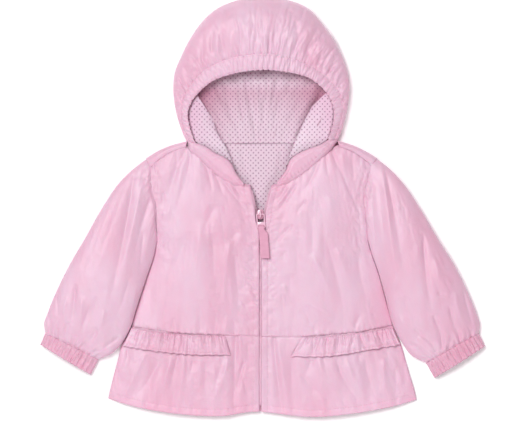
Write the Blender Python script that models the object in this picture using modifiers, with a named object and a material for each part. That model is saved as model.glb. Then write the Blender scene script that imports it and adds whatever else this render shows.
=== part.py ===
"""A baby's hooded windbreaker, laid on its back on a flat surface.

The garment lies in the X-Y plane: +X runs to the right of a viewer who looks down on it, +Y runs
from the hem to the hood and +Z is up. The middle of its outline is at x = 0, y = 0, and the surface
that it lies on is z = 0. Tables are in millimetres, and objects are made in metres.

Each cut piece is one object. Cloth is a grid of points on the outer face of a piece, made into a
wall by Solidify. The back pieces lie flat, and the upper ones arch over them.
"""

import math
from collections import namedtuple

import bmesh
import bpy
import numpy as np

MM = 0.001

# ---------------------------------------------------------------- driving dimensions (mm)

WALL = 1.2                 # cloth with its seam allowance, as one wall
LINING_WALL = 1.0
SEAM_GAP = 0.3             # between pieces that are sewn to each other
SEAM_EASE = 0.9            # the same where two curved edges meet
ZIP_X = -2.0               # the zip runs a little to the left of the middle
ZIP_SLOT = 0.8             # from the zip's middle to each folded edge
ZIP_TAPE = 12.0            # width of one half of the zip
ZIP_DROP = 1.9             # the tape's face lies this far under the face of the fronts
ZIP_TOP_Y = 24.0           # ends of the zip
ZIP_LOW_Y = -246.0
FRONT_LOW_Y = -159.0       # the fronts' waist seam and neckline, beside the zip
FRONT_TOP_Y = 27.5
FRONT_HEIGHT = 13.0        # height of the fronts beside the zip
LAPEL_HEIGHT = 15.2
NECK_LINING_HALF = 62.0    # half width of the neck lining at the neck seam
NECK_LINING_LOW_Y = -18.0
NECK_LINING_HEIGHT = 3.2
BACK_INSET = 3.5           # from a side seam to the edge of the back panel
SHOULDER_REACH = 4.0       # from the shoulder's edge to where its roll leaves the surface
ROLL = 6.0                 # radius of the turn where cloth rolls down to the surface
CASING_THICK = 3.0         # two layers of cloth and the elastic between them
LINING_START = 4.0         # from the face edge to the edge of the lining under the casing
LINING_DROP = 2.4          # from the casing's underside to the lining's inner face
LINING_INSET = 5.0         # from the crown's outer face to the lining's inner face
LINING_BACK_INSET = 3.6    # from the hood's outline to the edge of the back lining
CASING_GATHERS = 30
CROWN_GATHERS = 24
CUFF_GATHERS = 11          # on the face of one cuff
CUFF_HEIGHT = 13.0
CASING_RIB = 0.7           # how far the gathers stand out
CROWN_RIB = 1.5
CUFF_RIB = 0.9
NECK_SEAM_Y = 82.0         # where the hood is sewn to the back neck
WAIST_Y = -148.0           # where the waist seam of the back meets the side seams
WAIST_DIP = 11.0           # how much lower it is in the middle
WAIST_HALF = 164.0
HEM_CENTRE_Y = -253.5      # the hem at the zip

SHELL_PINK = (0.87, 0.56, 0.70)
CASING_PINK = (0.89, 0.59, 0.73)
TAB_PINK = (0.80, 0.44, 0.58)
ZIP_PINK = (0.78, 0.42, 0.57)
MOULDED_PINK = (0.83, 0.50, 0.63)
LINING_WHITE = (0.90, 0.82, 0.89)

# ---------------------------------------------------------------- outlines (x, y in mm)

Side = namedtuple("Side", "name sign armhole side_seam shoulder shoulder_seam neckline waist hem "
                          "peplum_side zip_edge sleeve_outer sleeve_inner cuff_seam cuff_edge "
                          "ruffle_top ruffle_hem lapel_inner lapel_outer lining_fold")

LEFT = Side(
    name="left",
    sign=-1,
    # from the shoulder down to the armpit
    armhole=((-144.5, 63), (-141, 51), (-142, 35), (-139, 19), (-134.5, 1), (-134.5, -16),
             (-132, -41)),
    # from the armpit down to the waist
    side_seam=((-132, -41), (-135, -57.5), (-144, -85), (-157.5, -126), (-164, -147.5)),
    # the rolled edge of the shoulder, and the seam that lies a little in front of it
    shoulder=((-144.5, 63), (-130, 72), (-116, 78), (-93.5, 84.2)),
    shoulder_seam=((-141, 51), (-130, 61), (-114.5, 71), (-95, 78)),
    neckline=((-95, 78), (-89.5, 74), (-75.5, 62), (-60.5, 47.5), (-47.5, 38), (-32.5, 31),
              (-13, 27.5)),
    waist=((-164, -147.5), (-121, -154), (-77.5, -157), (-45, -158), (-11.5, -159)),
    hem=((-192.5, -237), (-175, -242.8), (-157.5, -247.5), (-115, -255), (-77.5, -258.5),
         (-45, -258.5), (-19, -254.2)),
    peplum_side=((-164, -147.5), (-176, -171), (-180.5, -189), (-186, -210), (-190, -226),
                 (-192.5, -237)),
    zip_edge=((0, -253.5), (0, -159), (0, -34), (0.5, -27), (4.6, -15), (5.4, 0), (11, 27.5)),
    sleeve_outer=((-144.5, 63), (-160, 51), (-180, 31), (-200, 1), (-222.5, -39), (-240, -69),
                  (-255, -99), (-267.5, -129), (-272.5, -145), (-271, -155)),
    sleeve_inner=((-132, -41), (-135, -57.5), (-144, -85), (-157.5, -126), (-164, -147.5),
                  (-177.5, -171), (-187.5, -181), (-204, -188)),
    cuff_seam=((-271, -155), (-237.5, -171), (-204, -188)),
    cuff_edge=((-277, -169), (-245, -189), (-214, -207)),
    ruffle_top=((-163, -148.5), (-121, -154.5), (-77.5, -157.5), (-46, -158.8)),
    ruffle_hem=((-174, -171.5), (-140, -177), (-90, -182), (-39, -182.5)),
    lapel_inner=((-81.5, 82), (-69.5, 77.5), (-58, 69.5), (-47.5, 65), (-39, 57.5), (-32.5, 45),
                 (-23, 33)),
    lapel_outer=((-90.5, 83), (-89, 75), (-75, 63), (-60.5, 48), (-47.5, 38), (-35, 31.5),
                 (-23, 29)),
    lining_fold=((-61, 112), (-55, 95), (-43, 75), (-30, 45)),
)

RIGHT = Side(
    name="right",
    sign=1,
    armhole=((144, 63), (137, 55), (136, 42.5), (133.5, 30.5), (128, 13), (130.5, -6),
             (132.5, -22.5), (132.5, -36)),
    side_seam=((132.5, -36), (138, -57.5), (144, -74), (154, -109), (164, -146)),
    shoulder=((144, 63), (133.5, 69.5), (114, 79), (94, 85.2)),
    shoulder_seam=((137, 55), (123, 66), (110.5, 73.5), (97, 78)),
    neckline=((97, 78), (84, 71.5), (71, 61.5), (56, 48.5), (40, 37.5), (22.5, 30.5), (10.5, 27.5)),
    waist=((164, -146), (122.5, -154), (85, -157.5), (47.5, -160), (7.5, -159.5)),
    hem=((193.5, -238.5), (169, -245.8), (141, -251.5), (112.5, -256), (60, -260), (14, -255.2)),
    peplum_side=((164, -146), (174.5, -171), (179.5, -189), (186, -211), (190.5, -226),
                 (193.5, -238.5)),
    zip_edge=((0, -253.5), (0, -159), (0, -34), (0.5, -27), (4.6, -15), (5.8, 0), (12.5, 27.5)),
    sleeve_outer=((144, 63), (159, 51), (177.5, 31), (197.5, 1), (221, -39), (240, -69),
                  (255, -99), (267.5, -129), (272.5, -146), (271, -155)),
    sleeve_inner=((132.5, -36), (138, -57.5), (144, -74), (154, -109), (164, -146), (176, -169),
                  (186, -182.5), (205, -192.5)),
    cuff_seam=((271, -155), (237.5, -173), (205, -192.5)),
    cuff_edge=((279, -171), (247.5, -192.5), (215.5, -211)),
    ruffle_top=((162.5, -148), (122.5, -155), (85, -158.5), (50, -160.8)),
    ruffle_hem=((172.5, -170), (135, -176), (85, -184), (36, -184.5)),
    lapel_inner=((82, 86), (74, 81), (57.5, 75), (42.5, 67.5), (36, 62.5), (30, 49), (19, 34)),
    lapel_outer=((91, 84), (82.5, 73), (71, 63), (56, 49.5), (40, 38), (27.5, 31.5), (19, 29)),
    lining_fold=((62, 128), (52, 108), (40, 80), (31, 52)),
)

SIDES = (LEFT, RIGHT)

# From the left end of the neck over the top of the hood to the right end.
HOOD_OUTLINE = ((-95, 85.5), (-100.5, 98), (-105, 111), (-109.5, 131), (-111, 151), (-109, 171),
                (-101, 191), (-91, 211), (-77.5, 231), (-60, 248), (-37.5, 259), (0, 264),
                (37.5, 260), (59, 250), (75, 232.5), (91, 211), (100.5, 191), (107.5, 171),
                (110, 154), (108, 131), (104, 111), (100, 98), (95.5, 86.5))
HOOD_SEAM = ((-91, 86.5), (-96.5, 98), (-100.5, 112.5), (-100, 130), (-94.5, 146), (-84.5, 160.5),
             (-71, 174), (-56, 182), (-39, 188.5), (-20, 192), (0, 193.5), (19, 193), (34, 189),
             (51.5, 182.5), (65, 176), (79.5, 165), (91, 154), (99.5, 139), (101, 123.5),
             (97.5, 106), (91, 87.5))
HOOD_RIM = ((-84.5, 85), (-87.5, 94), (-91, 106), (-92.5, 119), (-87.5, 134), (-77, 147),
            (-62.5, 159), (-44.5, 166), (-27.5, 170), (-14, 172), (0, 173), (19, 172), (34, 170),
            (47.5, 167), (59, 163), (71, 154.5), (81, 144), (87, 134), (90, 120.5), (88.5, 106),
            (82.5, 87))

# ---------------------------------------------------------------- heights (mm)

# A row for each level of the fronts: how far up the piece it is, the height at the side, the
# height at the zip, and how far the cloth swells between them.
TorsoRow = namedtuple("TorsoRow", "along side zip swell")
TORSO_ROWS = (
    TorsoRow(0.00, 2.4, 10.5, 3.0),
    TorsoRow(0.30, 2.4, 11.5, 5.0),
    TorsoRow(0.50, 3.0, 12.5, 5.5),
    TorsoRow(0.70, 8.0, 13.0, 4.5),
    TorsoRow(0.90, 8.5, 13.0, 3.0),
    TorsoRow(1.00, 7.5, 13.0, 1.0),
)

# The same for the skirt below the waist seam, from the hem up.
PEPLUM_ROWS = (
    TorsoRow(0.00, 2.4, 8.5, 4.0),
    TorsoRow(0.50, 2.4, 9.5, 4.5),
    TorsoRow(1.00, 2.4, 10.5, 3.0),
)

# A row for each section of a sleeve: how far down the arm it is, and its height.
SleeveRow = namedtuple("SleeveRow", "along height")
SLEEVE_ROWS = (
    SleeveRow(0.00, 13.0),
    SleeveRow(0.15, 18.0),
    SleeveRow(0.40, 23.0),
    SleeveRow(0.75, 23.0),
    SleeveRow(0.92, 19.0),
    SleeveRow(1.00, 14.0),
)

# A row for each place round the hood: the heights of the face edge, of the seam behind the
# casing, and how far the crown swells above that seam.
HoodRow = namedtuple("HoodRow", "along rim seam swell")
HOOD_ROWS = (
    HoodRow(0.00, 17.0, 12.0, 0.0),
    HoodRow(0.12, 21.0, 17.5, 0.5),
    HoodRow(0.28, 29.0, 27.0, 2.0),
    HoodRow(0.50, 37.0, 37.0, 5.0),
    HoodRow(0.72, 29.0, 27.0, 2.0),
    HoodRow(0.88, 21.0, 17.5, 0.5),
    HoodRow(1.00, 17.0, 12.0, 0.0),
)

# The largest folds: soft ridges (rise over 0) and troughs, from a seam to where they fade.
Fold = namedtuple("Fold", "x0 y0 x1 y1 width rise")
FRONT_FOLDS = {
    "left": (
        Fold(-86, 72, -106, -20, 7, -1.8),
        Fold(-72, 60, -92, -60, 8, 1.6),
        Fold(-60, 46, -64, -40, 6, -1.6),
        Fold(-42, 34, -16, -10, 5, -1.4),
        Fold(-128, -6, -96, -30, 5, -1.3),
        Fold(-66, -156, -60, -90, 9, 1.2),
        Fold(-112, -153, -108, -80, 10, -1.2),
    ),
    "right": (
        Fold(88, 74, 118, -4, 6, -1.8),
        Fold(72, 62, 92, -50, 8, 1.6),
        Fold(54, 46, 22, 2, 5, -1.4),
        Fold(40, 36, 44, -50, 7, -1.3),
        Fold(122, 0, 98, -34, 5, -1.3),
        Fold(62, -158, 60, -88, 9, 1.2),
        Fold(110, -154, 104, -84, 10, -1.2),
    ),
}
SLEEVE_FOLDS = {
    "left": (
        Fold(-152, 44, -182, -70, 6, -1.8),
        Fold(-146, 10, -168, -100, 6, 1.6),
        Fold(-146, -22, -186, -128, 5, -1.8),
        Fold(-258, -142, -232, -92, 5, -1.8),
        Fold(-234, -162, -212, -104, 5, 1.8),
        Fold(-216, -172, -196, -118, 5, -1.8),
    ),
    "right": (
        Fold(146, 42, 172, -60, 6, -1.8),
        Fold(142, 4, 160, -90, 6, 1.6),
        Fold(146, -30, 190, -130, 5, -1.8),
        Fold(258, -142, 232, -92, 5, -1.8),
        Fold(236, -164, 212, -106, 5, 1.8),
        Fold(218, -176, 198, -120, 5, -1.8),
    ),
}

# Gathers of the skirt: how far along the waist from the side to the zip, width and rise.
Gather = namedtuple("Gather", "place width rise")
PEPLUM_GATHERS = {
    "left": (
        Gather(0.10, 0.035, 1.6), Gather(0.22, 0.030, -1.8), Gather(0.34, 0.040, 2.2),
        Gather(0.46, 0.030, -1.6), Gather(0.57, 0.035, 1.8), Gather(0.68, 0.030, -2.0),
        Gather(0.78, 0.030, 2.2), Gather(0.87, 0.022, -2.2), Gather(0.94, 0.025, 1.4),
    ),
    "right": (
        Gather(0.09, 0.035, 1.8), Gather(0.20, 0.030, -1.6), Gather(0.31, 0.040, 2.0),
        Gather(0.43, 0.030, -2.0), Gather(0.55, 0.035, 2.2), Gather(0.66, 0.030, -1.6),
        Gather(0.77, 0.030, 2.0), Gather(0.88, 0.022, -2.4), Gather(0.95, 0.022, 1.4),
    ),
}
RUFFLE_WAVES = 11
RUFFLE_WAVE = 1.6          # height of a wave at the ruffle's free edge
RUFFLE_LIFT = 2.4          # height of the ruffle's face over the skirt under it

# ---------------------------------------------------------------- zip slider and pull (mm)

SLIDER_WIDTH = 8.6
SLIDER_TOP_Y = -0.5
SLIDER_LENGTH = 12.5
SLIDER_PLATE = 1.6
SLIDER_NOSE = 3.2          # width of the wedge that parts the two halves
BRIDGE_WIRE = 0.8          # radius
BRIDGE_RISE = 5.4
PULL_WIRE = 0.8            # radius of the link
PULL_HALF_WIDTH = 4.6
PULL_LINK = 16.5           # from the hinge to the far bar
PULL_TILT = 4.0            # degrees, seen from above
TAB_WIDTH = 10.8
TAB_NECK = 6.6             # width of its loop, inside the link
TAB_LENGTH = 38.5
TAB_SHIFT = 2.2            # the tab lies this far to the right of its loop
TAB_SLOT = 0.5             # between the two layers of the folded tab


# ---------------------------------------------------------------- lines and grids

def eased(key, value, at):
    """Value at any key on a smooth curve through (key, value) rows."""
    key = np.asarray(key, float)
    value = np.asarray(value, float)
    slope = np.gradient(value, key)
    at = np.clip(at, key[0], key[-1])
    cell = np.clip(np.searchsorted(key, at, side="right") - 1, 0, len(key) - 2)
    span = key[cell + 1] - key[cell]
    t = (at - key[cell]) / span
    return ((2 * t**3 - 3 * t**2 + 1) * value[cell] + (t**3 - 2 * t**2 + t) * span * slope[cell]
            + (3 * t**2 - 2 * t**3) * value[cell + 1] + (t**3 - t**2) * span * slope[cell + 1])


def column(rows, name, at):
    """A named column of a table, smooth between its rows."""
    return eased([row[0] for row in rows], [getattr(row, name) for row in rows], at)


def line(points, count):
    """Evenly spaced points on a smooth line through a few points."""
    points = np.array(points, float)
    steps = np.linalg.norm(np.diff(points, axis=0), axis=1)
    key = np.concatenate([[0.0], np.cumsum(steps)])
    fine = np.linspace(0.0, key[-1], 30 * len(points))
    path = np.stack([eased(key, points[:, axis], fine) for axis in (0, 1)], axis=1)
    walked = np.concatenate([[0.0], np.cumsum(np.linalg.norm(np.diff(path, axis=0), axis=1))])
    at = np.linspace(0.0, walked[-1], count)
    return np.stack([np.interp(at, walked, path[:, axis]) for axis in (0, 1)], axis=1)


def chain(*lines):
    """One list of points from several that meet end to end."""
    joined = list(lines[0])
    for points in lines[1:]:
        joined.extend(points[1:])
    return joined


def patch(low, high, start, end):
    """Plan of a four-sided piece: low and high run across it, start and end run up its sides."""
    low, high, start, end = (np.asarray(edge, float) for edge in (low, high, start, end))
    across = np.linspace(0.0, 1.0, len(low))[None, :, None]
    up = np.linspace(0.0, 1.0, len(start))[:, None, None]
    ruled = (1 - up) * low[None] + up * high[None] + (1 - across) * start[:, None]
    ruled = ruled + across * end[:, None]
    corners = ((1 - up) * ((1 - across) * low[0] + across * low[-1])
               + up * ((1 - across) * high[0] + across * high[-1]))
    return ruled - corners


def with_height(plan, height):
    return np.concatenate([plan, height[..., None]], axis=-1)


def arch(across, side, middle, swell):
    """Height of upper cloth: steep at its side seam, nearly level at the zip."""
    rise = np.sqrt(np.clip(1 - (1 - across)**2.6, 0, 1))
    return side + (middle - side) * rise + swell * 4 * across * (1 - across) * (1 - across**6)


def fold_height(plan, folds):
    """Sum of soft ridges and troughs at the points of a plan."""
    total = np.zeros(plan.shape[:-1])
    for fold in folds:
        start = np.array((fold.x0, fold.y0))
        run = np.array((fold.x1, fold.y1)) - start
        length = np.linalg.norm(run)
        offset = plan - start
        along = np.clip(offset @ run / length**2, 0, 1)
        away = np.linalg.norm(offset - along[..., None] * run, axis=-1)
        fade = np.minimum(1, 10 * along) * (1 - along)**0.8
        total += fold.rise * np.exp(-(away / fold.width)**2) * fade
    return total


def gather_height(across, gathers):
    return sum(g.rise * np.exp(-((across - g.place) / g.width)**2) for g in gathers)


def height_under(surface, plan):
    """Height of a finely gridded surface below each point of a plan."""
    points = surface.reshape(-1, 3)
    flat = plan.reshape(-1, 2)
    found = np.empty(len(flat))
    for index, place in enumerate(flat):
        away = np.linalg.norm(points[:, :2] - place, axis=1) + 0.01
        near = np.argsort(away)[:4]
        weight = 1 / away[near]**2
        found[index] = (points[near, 2] * weight).sum() / weight.sum()
    return found.reshape(plan.shape[:-1])


# ---------------------------------------------------------------- shapes of the pieces

def zip_line(side, inset, low, high, count):
    """Points of the fronts' centre edge from y = low to y = high, moved towards the zip."""
    rows = np.array(side.zip_edge, float)
    y = np.linspace(low, high, count)
    away = np.interp(y, rows[:, 1], rows[:, 0]) + ZIP_SLOT - inset
    return np.stack([ZIP_X + side.sign * away, y], axis=1)


def front_surface(side, across=15, up=19):
    """Outer face of one front, from the side to the zip and from the waist to the neck."""
    side_edge = line(chain(side.side_seam[::-1], side.armhole[::-1][:-1]), up)
    top_edge = line(chain(side.shoulder_seam, side.neckline), across)
    low_edge = line(side.waist, across)
    centre = zip_line(side, 0.0, low_edge[-1][1], top_edge[-1][1], up)
    low_edge = low_edge + (centre[0] - low_edge[-1]) * np.linspace(0, 1, across)[:, None]**4
    top_edge = top_edge + (centre[-1] - top_edge[-1]) * np.linspace(0, 1, across)[:, None]**4
    side_edge = side_edge + (top_edge[0] - side_edge[-1]) * np.linspace(0, 1, up)[:, None]**6
    plan = patch(low_edge, top_edge, side_edge, centre)
    u = np.linspace(0, 1, across)[None, :]
    v = np.linspace(0, 1, up)[:, None]
    height = arch(u, column(TORSO_ROWS, "side", v), column(TORSO_ROWS, "zip", v),
                  column(TORSO_ROWS, "swell", v))
    edge_fade = np.minimum(1, 5 * u)
    return with_height(plan, height + edge_fade * fold_height(plan, FRONT_FOLDS[side.name]))


def peplum_surface(side, across=29, up=6):
    """Outer face of one half of the gathered skirt, from the side to the zip."""
    waist = line(side.waist, across) - np.array((0.0, 2 * SEAM_GAP))
    hem = line(side.hem + ((ZIP_X + side.sign * ZIP_SLOT, HEM_CENTRE_Y),), across)
    side_edge = line(side.peplum_side[::-1], up)
    centre = zip_line(side, 0.0, hem[-1][1], waist[-1][1], up)
    hem = hem + (centre[0] - hem[-1]) * np.linspace(0, 1, across)[:, None]**4
    waist = waist + (centre[-1] - waist[-1]) * np.linspace(0, 1, across)[:, None]**4
    side_edge[-1] = waist[0]
    plan = patch(hem, waist, side_edge, centre)
    u = np.linspace(0, 1, across)[None, :]
    v = np.linspace(0, 1, up)[:, None]
    height = arch(u, column(PEPLUM_ROWS, "side", v), column(PEPLUM_ROWS, "zip", v),
                  column(PEPLUM_ROWS, "swell", v))
    gathers = gather_height(u, PEPLUM_GATHERS[side.name]) * (1 - 0.75 * v)
    return with_height(plan, height + gathers * np.minimum(1, 8 * u))


def ruffle_surface(side, across=45, up=3):
    """Outer face of the short ruffle that hangs from the waist seam over the skirt."""
    top = line(side.ruffle_top, across)
    hem = line(side.ruffle_hem, across)
    u = np.linspace(0, 1, across)[None, :]
    v = np.linspace(0, 1, up)[:, None]
    plan = (1 - v[..., None]) * hem[None] + v[..., None] * top[None]
    wave = RUFFLE_WAVE * np.sin(2 * math.pi * RUFFLE_WAVES * u) * (1 - 0.8 * v)
    under = height_under(peplum_surface(side, 90, 40), plan)
    return with_height(plan, under + RUFFLE_LIFT + RUFFLE_WAVE * (1 - 0.8 * v) + wave)


def ring(outer, inner, height, count, rib=0.0, ribs=0):
    """Sections of a flattened tube: flat below, arched above, from its outer to its inner edge."""
    turn = np.linspace(0, 2 * math.pi, count, endpoint=False)
    across = 0.5 - 0.5 * np.cos(turn)
    above = np.sin(turn) >= -1e-9
    lift = np.abs(np.sin(turn))
    edge = 0.3 * height[:, None]
    top = edge + (height[:, None] - edge) * lift**0.75
    low = edge * np.clip(1 - lift / 0.45, 0, 1)**1.6
    ripple = rib * (0.5 - 0.5 * np.cos(2 * math.pi * ribs * across)) * lift**0.5
    z = np.where(above, top + ripple, low)
    plan = outer[:, None] + (inner - outer)[:, None] * across[None, :, None]
    return with_height(plan, z)


def sleeve_surface(side, around=26, along=13):
    """Outer face of one sleeve, a flattened tube from the armhole to the cuff seam."""
    outer = line(side.sleeve_outer, along)
    inner = line(side.sleeve_inner, along)
    armhole = line(side.armhole, 40)
    seam = line(side.cuff_seam, 40)
    v = np.linspace(0, 1, along)
    turn = np.linspace(0, 2 * math.pi, around, endpoint=False)
    across = 0.5 - 0.5 * np.cos(turn)
    spread = np.linspace(0, 1, 40)
    start = np.stack([np.interp(across, spread, armhole[:, axis]) for axis in (0, 1)], axis=1)
    end = np.stack([np.interp(across, spread, seam[:, axis]) for axis in (0, 1)], axis=1)
    tube = ring(outer, inner, column(SLEEVE_ROWS, "height", v), around)
    first = outer[0] + (inner[0] - outer[0]) * across[:, None]
    last = outer[-1] + (inner[-1] - outer[-1]) * across[:, None]
    bend = (start - first)[None] * (1 - v)[:, None, None] + (end - last)[None] * v[:, None, None]
    tube[..., :2] += bend
    upper = np.clip(np.sin(turn), 0, 1)[None, :]
    tube[..., 2] += upper * fold_height(tube[..., :2], SLEEVE_FOLDS[side.name])
    tube[..., 0] += side.sign * SEAM_EASE * (1.2 - 0.4 * v)[:, None]
    return tube


def cuff_surface(side, around=44, along=4):
    """Outer face of one gathered cuff."""
    seam = line(side.cuff_seam, 40)
    edge = line(side.cuff_edge, 40)
    v = np.linspace(0, 1, along)[:, None]
    run = (edge[20] - seam[20]) / np.linalg.norm(edge[20] - seam[20])
    outer = (1 - v) * seam[0] + v * edge[0] + run * SEAM_EASE
    inner = (1 - v) * seam[-1] + v * edge[-1] + run * SEAM_EASE
    height = np.full(along, CUFF_HEIGHT)
    tube = ring(outer, inner, height, around, CUFF_RIB, CUFF_GATHERS)
    across = 0.5 - 0.5 * np.cos(np.linspace(0, 2 * math.pi, around, endpoint=False))
    bow = 4 * across * (1 - across)
    tube[..., :2] += run * (-1.5 + 3 * v[..., None]) * 0.4 * bow[None, :, None]
    return tube


def hood_lines(count):
    """Outline, casing seam and face edge of the hood, and how far along the arc each point is."""
    outline = line(HOOD_OUTLINE, count)
    seam = line(HOOD_SEAM, count)
    rim = line(HOOD_RIM, count)
    return outline, seam, rim, np.linspace(0, 1, count)


def inside(points, inset):
    """A line moved to its right by a distance, square to itself."""
    run = np.gradient(points, axis=0)
    run = run / np.linalg.norm(run, axis=1)[:, None]
    return points + np.stack([run[:, 1], -run[:, 0]], axis=1) * inset


def crown_surface(columns=61, rows=6):
    """Outer face of the crown: from the casing seam over the top, then down and round to z = 0."""
    outline, seam, _, along = hood_lines(columns)
    reach = np.linalg.norm(outline - seam, axis=1)
    outward = (outline - seam) / reach[:, None]
    seam_z = column(HOOD_ROWS, "seam", along)
    swell = column(HOOD_ROWS, "swell", along)
    roll = np.minimum(ROLL, 0.9 * reach)
    gather = np.cos(2 * math.pi * CROWN_GATHERS * along) * np.minimum(1, reach / 40)
    grid = []
    for step in np.linspace(0, 1, rows):
        turn = step * math.pi / 2
        away = (reach - SEAM_GAP) * math.sin(turn) + SEAM_GAP
        z = roll + (seam_z - roll) * math.cos(turn)**0.8 + swell * math.sin(2 * turn)
        z = z + CROWN_RIB * gather * (1 - step)**1.5 * min(1, 0.35 + 4 * step)
        grid.append(with_height(seam + outward * away[:, None], z))
    for step in (0.5, 1.0):
        turn = step * math.pi / 2
        away = reach - roll * (1 - math.cos(turn))
        grid.append(with_height(seam + outward * away[:, None], roll * (1 - math.sin(turn))))
    return np.array(grid)


def casing_sections(columns=91):
    """Closed sections of the elastic casing round the face, from its seam to its edge."""
    _, seam, rim, along = hood_lines(columns)
    width = np.linalg.norm(seam - rim, axis=1)
    inward = (rim - seam) / width[:, None]
    seam_z = column(HOOD_ROWS, "seam", along)
    rim_z = column(HOOD_ROWS, "rim", along)
    rib = CASING_RIB * np.cos(2 * math.pi * CASING_GATHERS * along)
    half = CASING_THICK / 2
    profile = ((0.0, half, 0.2), (0.35, half + 0.9, 1.0), (0.75, half + 0.9, 1.0),
               (0.97, half * 0.8, 0.6), (1.0, 0.0, 0.4), (0.95, -half, 0.0), (0.0, -half, 0.0))
    sections = []
    for across, lift, ribbed in profile:
        plan = seam + inward * (SEAM_EASE + (width - SEAM_EASE) * across)[:, None]
        z = seam_z + (rim_z - seam_z) * across - half + lift + ribbed * rib
        sections.append(with_height(plan, z))
    return np.array(sections)


def hood_lining_surface(columns=31):
    """Inner face of the lining under the casing and the crown, down to the hood's edge."""
    outline, seam, rim, along = hood_lines(columns)
    width = np.linalg.norm(seam - rim, axis=1)
    reach = inside(outline, LINING_INSET) - seam
    rim_z = column(HOOD_ROWS, "rim", along)
    seam_z = column(HOOD_ROWS, "seam", along)
    swell = column(HOOD_ROWS, "swell", along)
    grid = []
    for share in (LINING_START / width, np.full(columns, 0.75)):
        z = rim_z + (seam_z - rim_z) * share - CASING_THICK - LINING_DROP
        grid.append(with_height(rim + (seam - rim) * share[:, None], z))
    for step in (0.08, 0.35, 0.6, 0.8, 1.0):
        turn = step * math.pi / 2
        z = ROLL + (seam_z - ROLL) * math.cos(turn)**0.8 + swell * math.sin(2 * turn)
        z = z - (LINING_INSET + 0.4) * math.cos(turn)
        grid.append(with_height(seam + reach * math.sin(turn), z))
    return np.array(grid)


def hood_lining_back_surface(columns=31):
    """Inner face of the lining on the back of the hood, from its edge down to the neck seam."""
    edge = inside(line(HOOD_OUTLINE, columns), LINING_BACK_INSET)
    neck = np.stack([np.linspace(-79, 80, columns), np.full(columns, NECK_SEAM_Y + 1.2)], axis=1)
    grid = []
    for step, rise in ((0.0, 3.4), (0.3, 4.6), (0.65, 4.6), (1.0, 3.2)):
        plan = edge + (neck - edge) * step
        grid.append(with_height(plan, np.full(columns, rise)))
    return np.array(grid)


# ---------------------------------------------------------------- making objects

def principled(name, colour, roughness, sheen=0.0):
    material = bpy.data.materials.new(name)
    material.use_nodes = True
    shader = material.node_tree.nodes["Principled BSDF"]
    shader.inputs["Base Color"].default_value = (*colour, 1.0)
    shader.inputs["Roughness"].default_value = roughness
    shader.inputs["Sheen Weight"].default_value = sheen
    return material


def place(name, mesh, material):
    """A named object in the garment's collection, shaded smooth."""
    mesh.materials.append(material)
    mesh.shade_smooth()
    obj = bpy.data.objects.new(name, mesh)
    GARMENT.objects.link(obj)
    return obj


def grid_faces(mesh, points, wrap):
    """Quads between the points of a grid, whose columns join up when it wraps."""
    rows, columns = points.shape[:2]
    verts = [[mesh.verts.new(point * MM) for point in row] for row in points]
    last = columns if wrap else columns - 1
    for i in range(rows - 1):
        for j in range(last):
            k = (j + 1) % columns
            mesh.faces.new((verts[i][j], verts[i][k], verts[i + 1][k], verts[i + 1][j]))
    return verts


def cloth(name, grids, material, wall=WALL, wrap=False, face_up=True):
    """A wall of cloth behind one or more grids of points that share their edges."""
    work = bmesh.new()
    for points in grids:
        grid_faces(work, np.asarray(points, float), wrap)
    bmesh.ops.remove_doubles(work, verts=work.verts, dist=0.00001)
    bmesh.ops.recalc_face_normals(work, faces=work.faces)
    widest = max(work.faces, key=lambda face: abs(face.normal.z) * face.calc_area())
    if not wrap and (widest.normal.z > 0) != face_up:
        bmesh.ops.reverse_faces(work, faces=work.faces)
    mesh = bpy.data.meshes.new(name)
    work.to_mesh(mesh)
    work.free()
    obj = place(name, mesh, material)
    solid = obj.modifiers.new("Wall", "SOLIDIFY")
    solid.thickness = wall * MM
    solid.offset = -1.0
    return obj


def swept(name, sections, material):
    """A solid from closed sections, capped at both ends."""
    work = bmesh.new()
    verts = grid_faces(work, np.swapaxes(sections, 0, 1), wrap=True)
    work.faces.new(verts[0][::-1])
    work.faces.new(verts[-1])
    bmesh.ops.recalc_face_normals(work, faces=work.faces)
    mesh = bpy.data.meshes.new(name)
    work.to_mesh(mesh)
    work.free()
    return place(name, mesh, material)


def box(name, low, high, material):
    """A box between two corners, from a cube primitive."""
    work = bmesh.new()
    bmesh.ops.create_cube(work, size=1.0)
    low, high = np.array(low), np.array(high)
    for vert in work.verts:
        vert.co = ((low + high) / 2 + np.array(vert.co) * (high - low)) * MM
    mesh = bpy.data.meshes.new(name)
    work.to_mesh(mesh)
    work.free()
    return place(name, mesh, material)


def wire_mesh(name, points, radius, cyclic, material):
    """A round wire along a few points, as a mesh object with its caps welded."""
    curve = bpy.data.curves.new(name, "CURVE")
    curve.dimensions = "3D"
    curve.bevel_depth = radius * MM
    curve.bevel_resolution = 2
    curve.use_fill_caps = not cyclic
    spline = curve.splines.new("POLY")
    spline.points.add(len(points) - 1)
    for vertex, point in zip(spline.points, points):
        vertex.co = (point[0] * MM, point[1] * MM, point[2] * MM, 1.0)
    spline.use_cyclic_u = cyclic
    holder = bpy.data.objects.new(name + "_curve", curve)
    bpy.context.scene.collection.objects.link(holder)
    bpy.context.view_layer.update()
    depsgraph = bpy.context.evaluated_depsgraph_get()
    mesh = bpy.data.meshes.new_from_object(holder.evaluated_get(depsgraph))
    bpy.data.objects.remove(holder)
    work = bmesh.new()
    work.from_mesh(mesh)
    bmesh.ops.remove_doubles(work, verts=work.verts, dist=0.00001)
    bmesh.ops.recalc_face_normals(work, faces=work.faces)
    work.to_mesh(mesh)
    work.free()
    mesh.materials.clear()
    return place(name, mesh, material)


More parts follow.
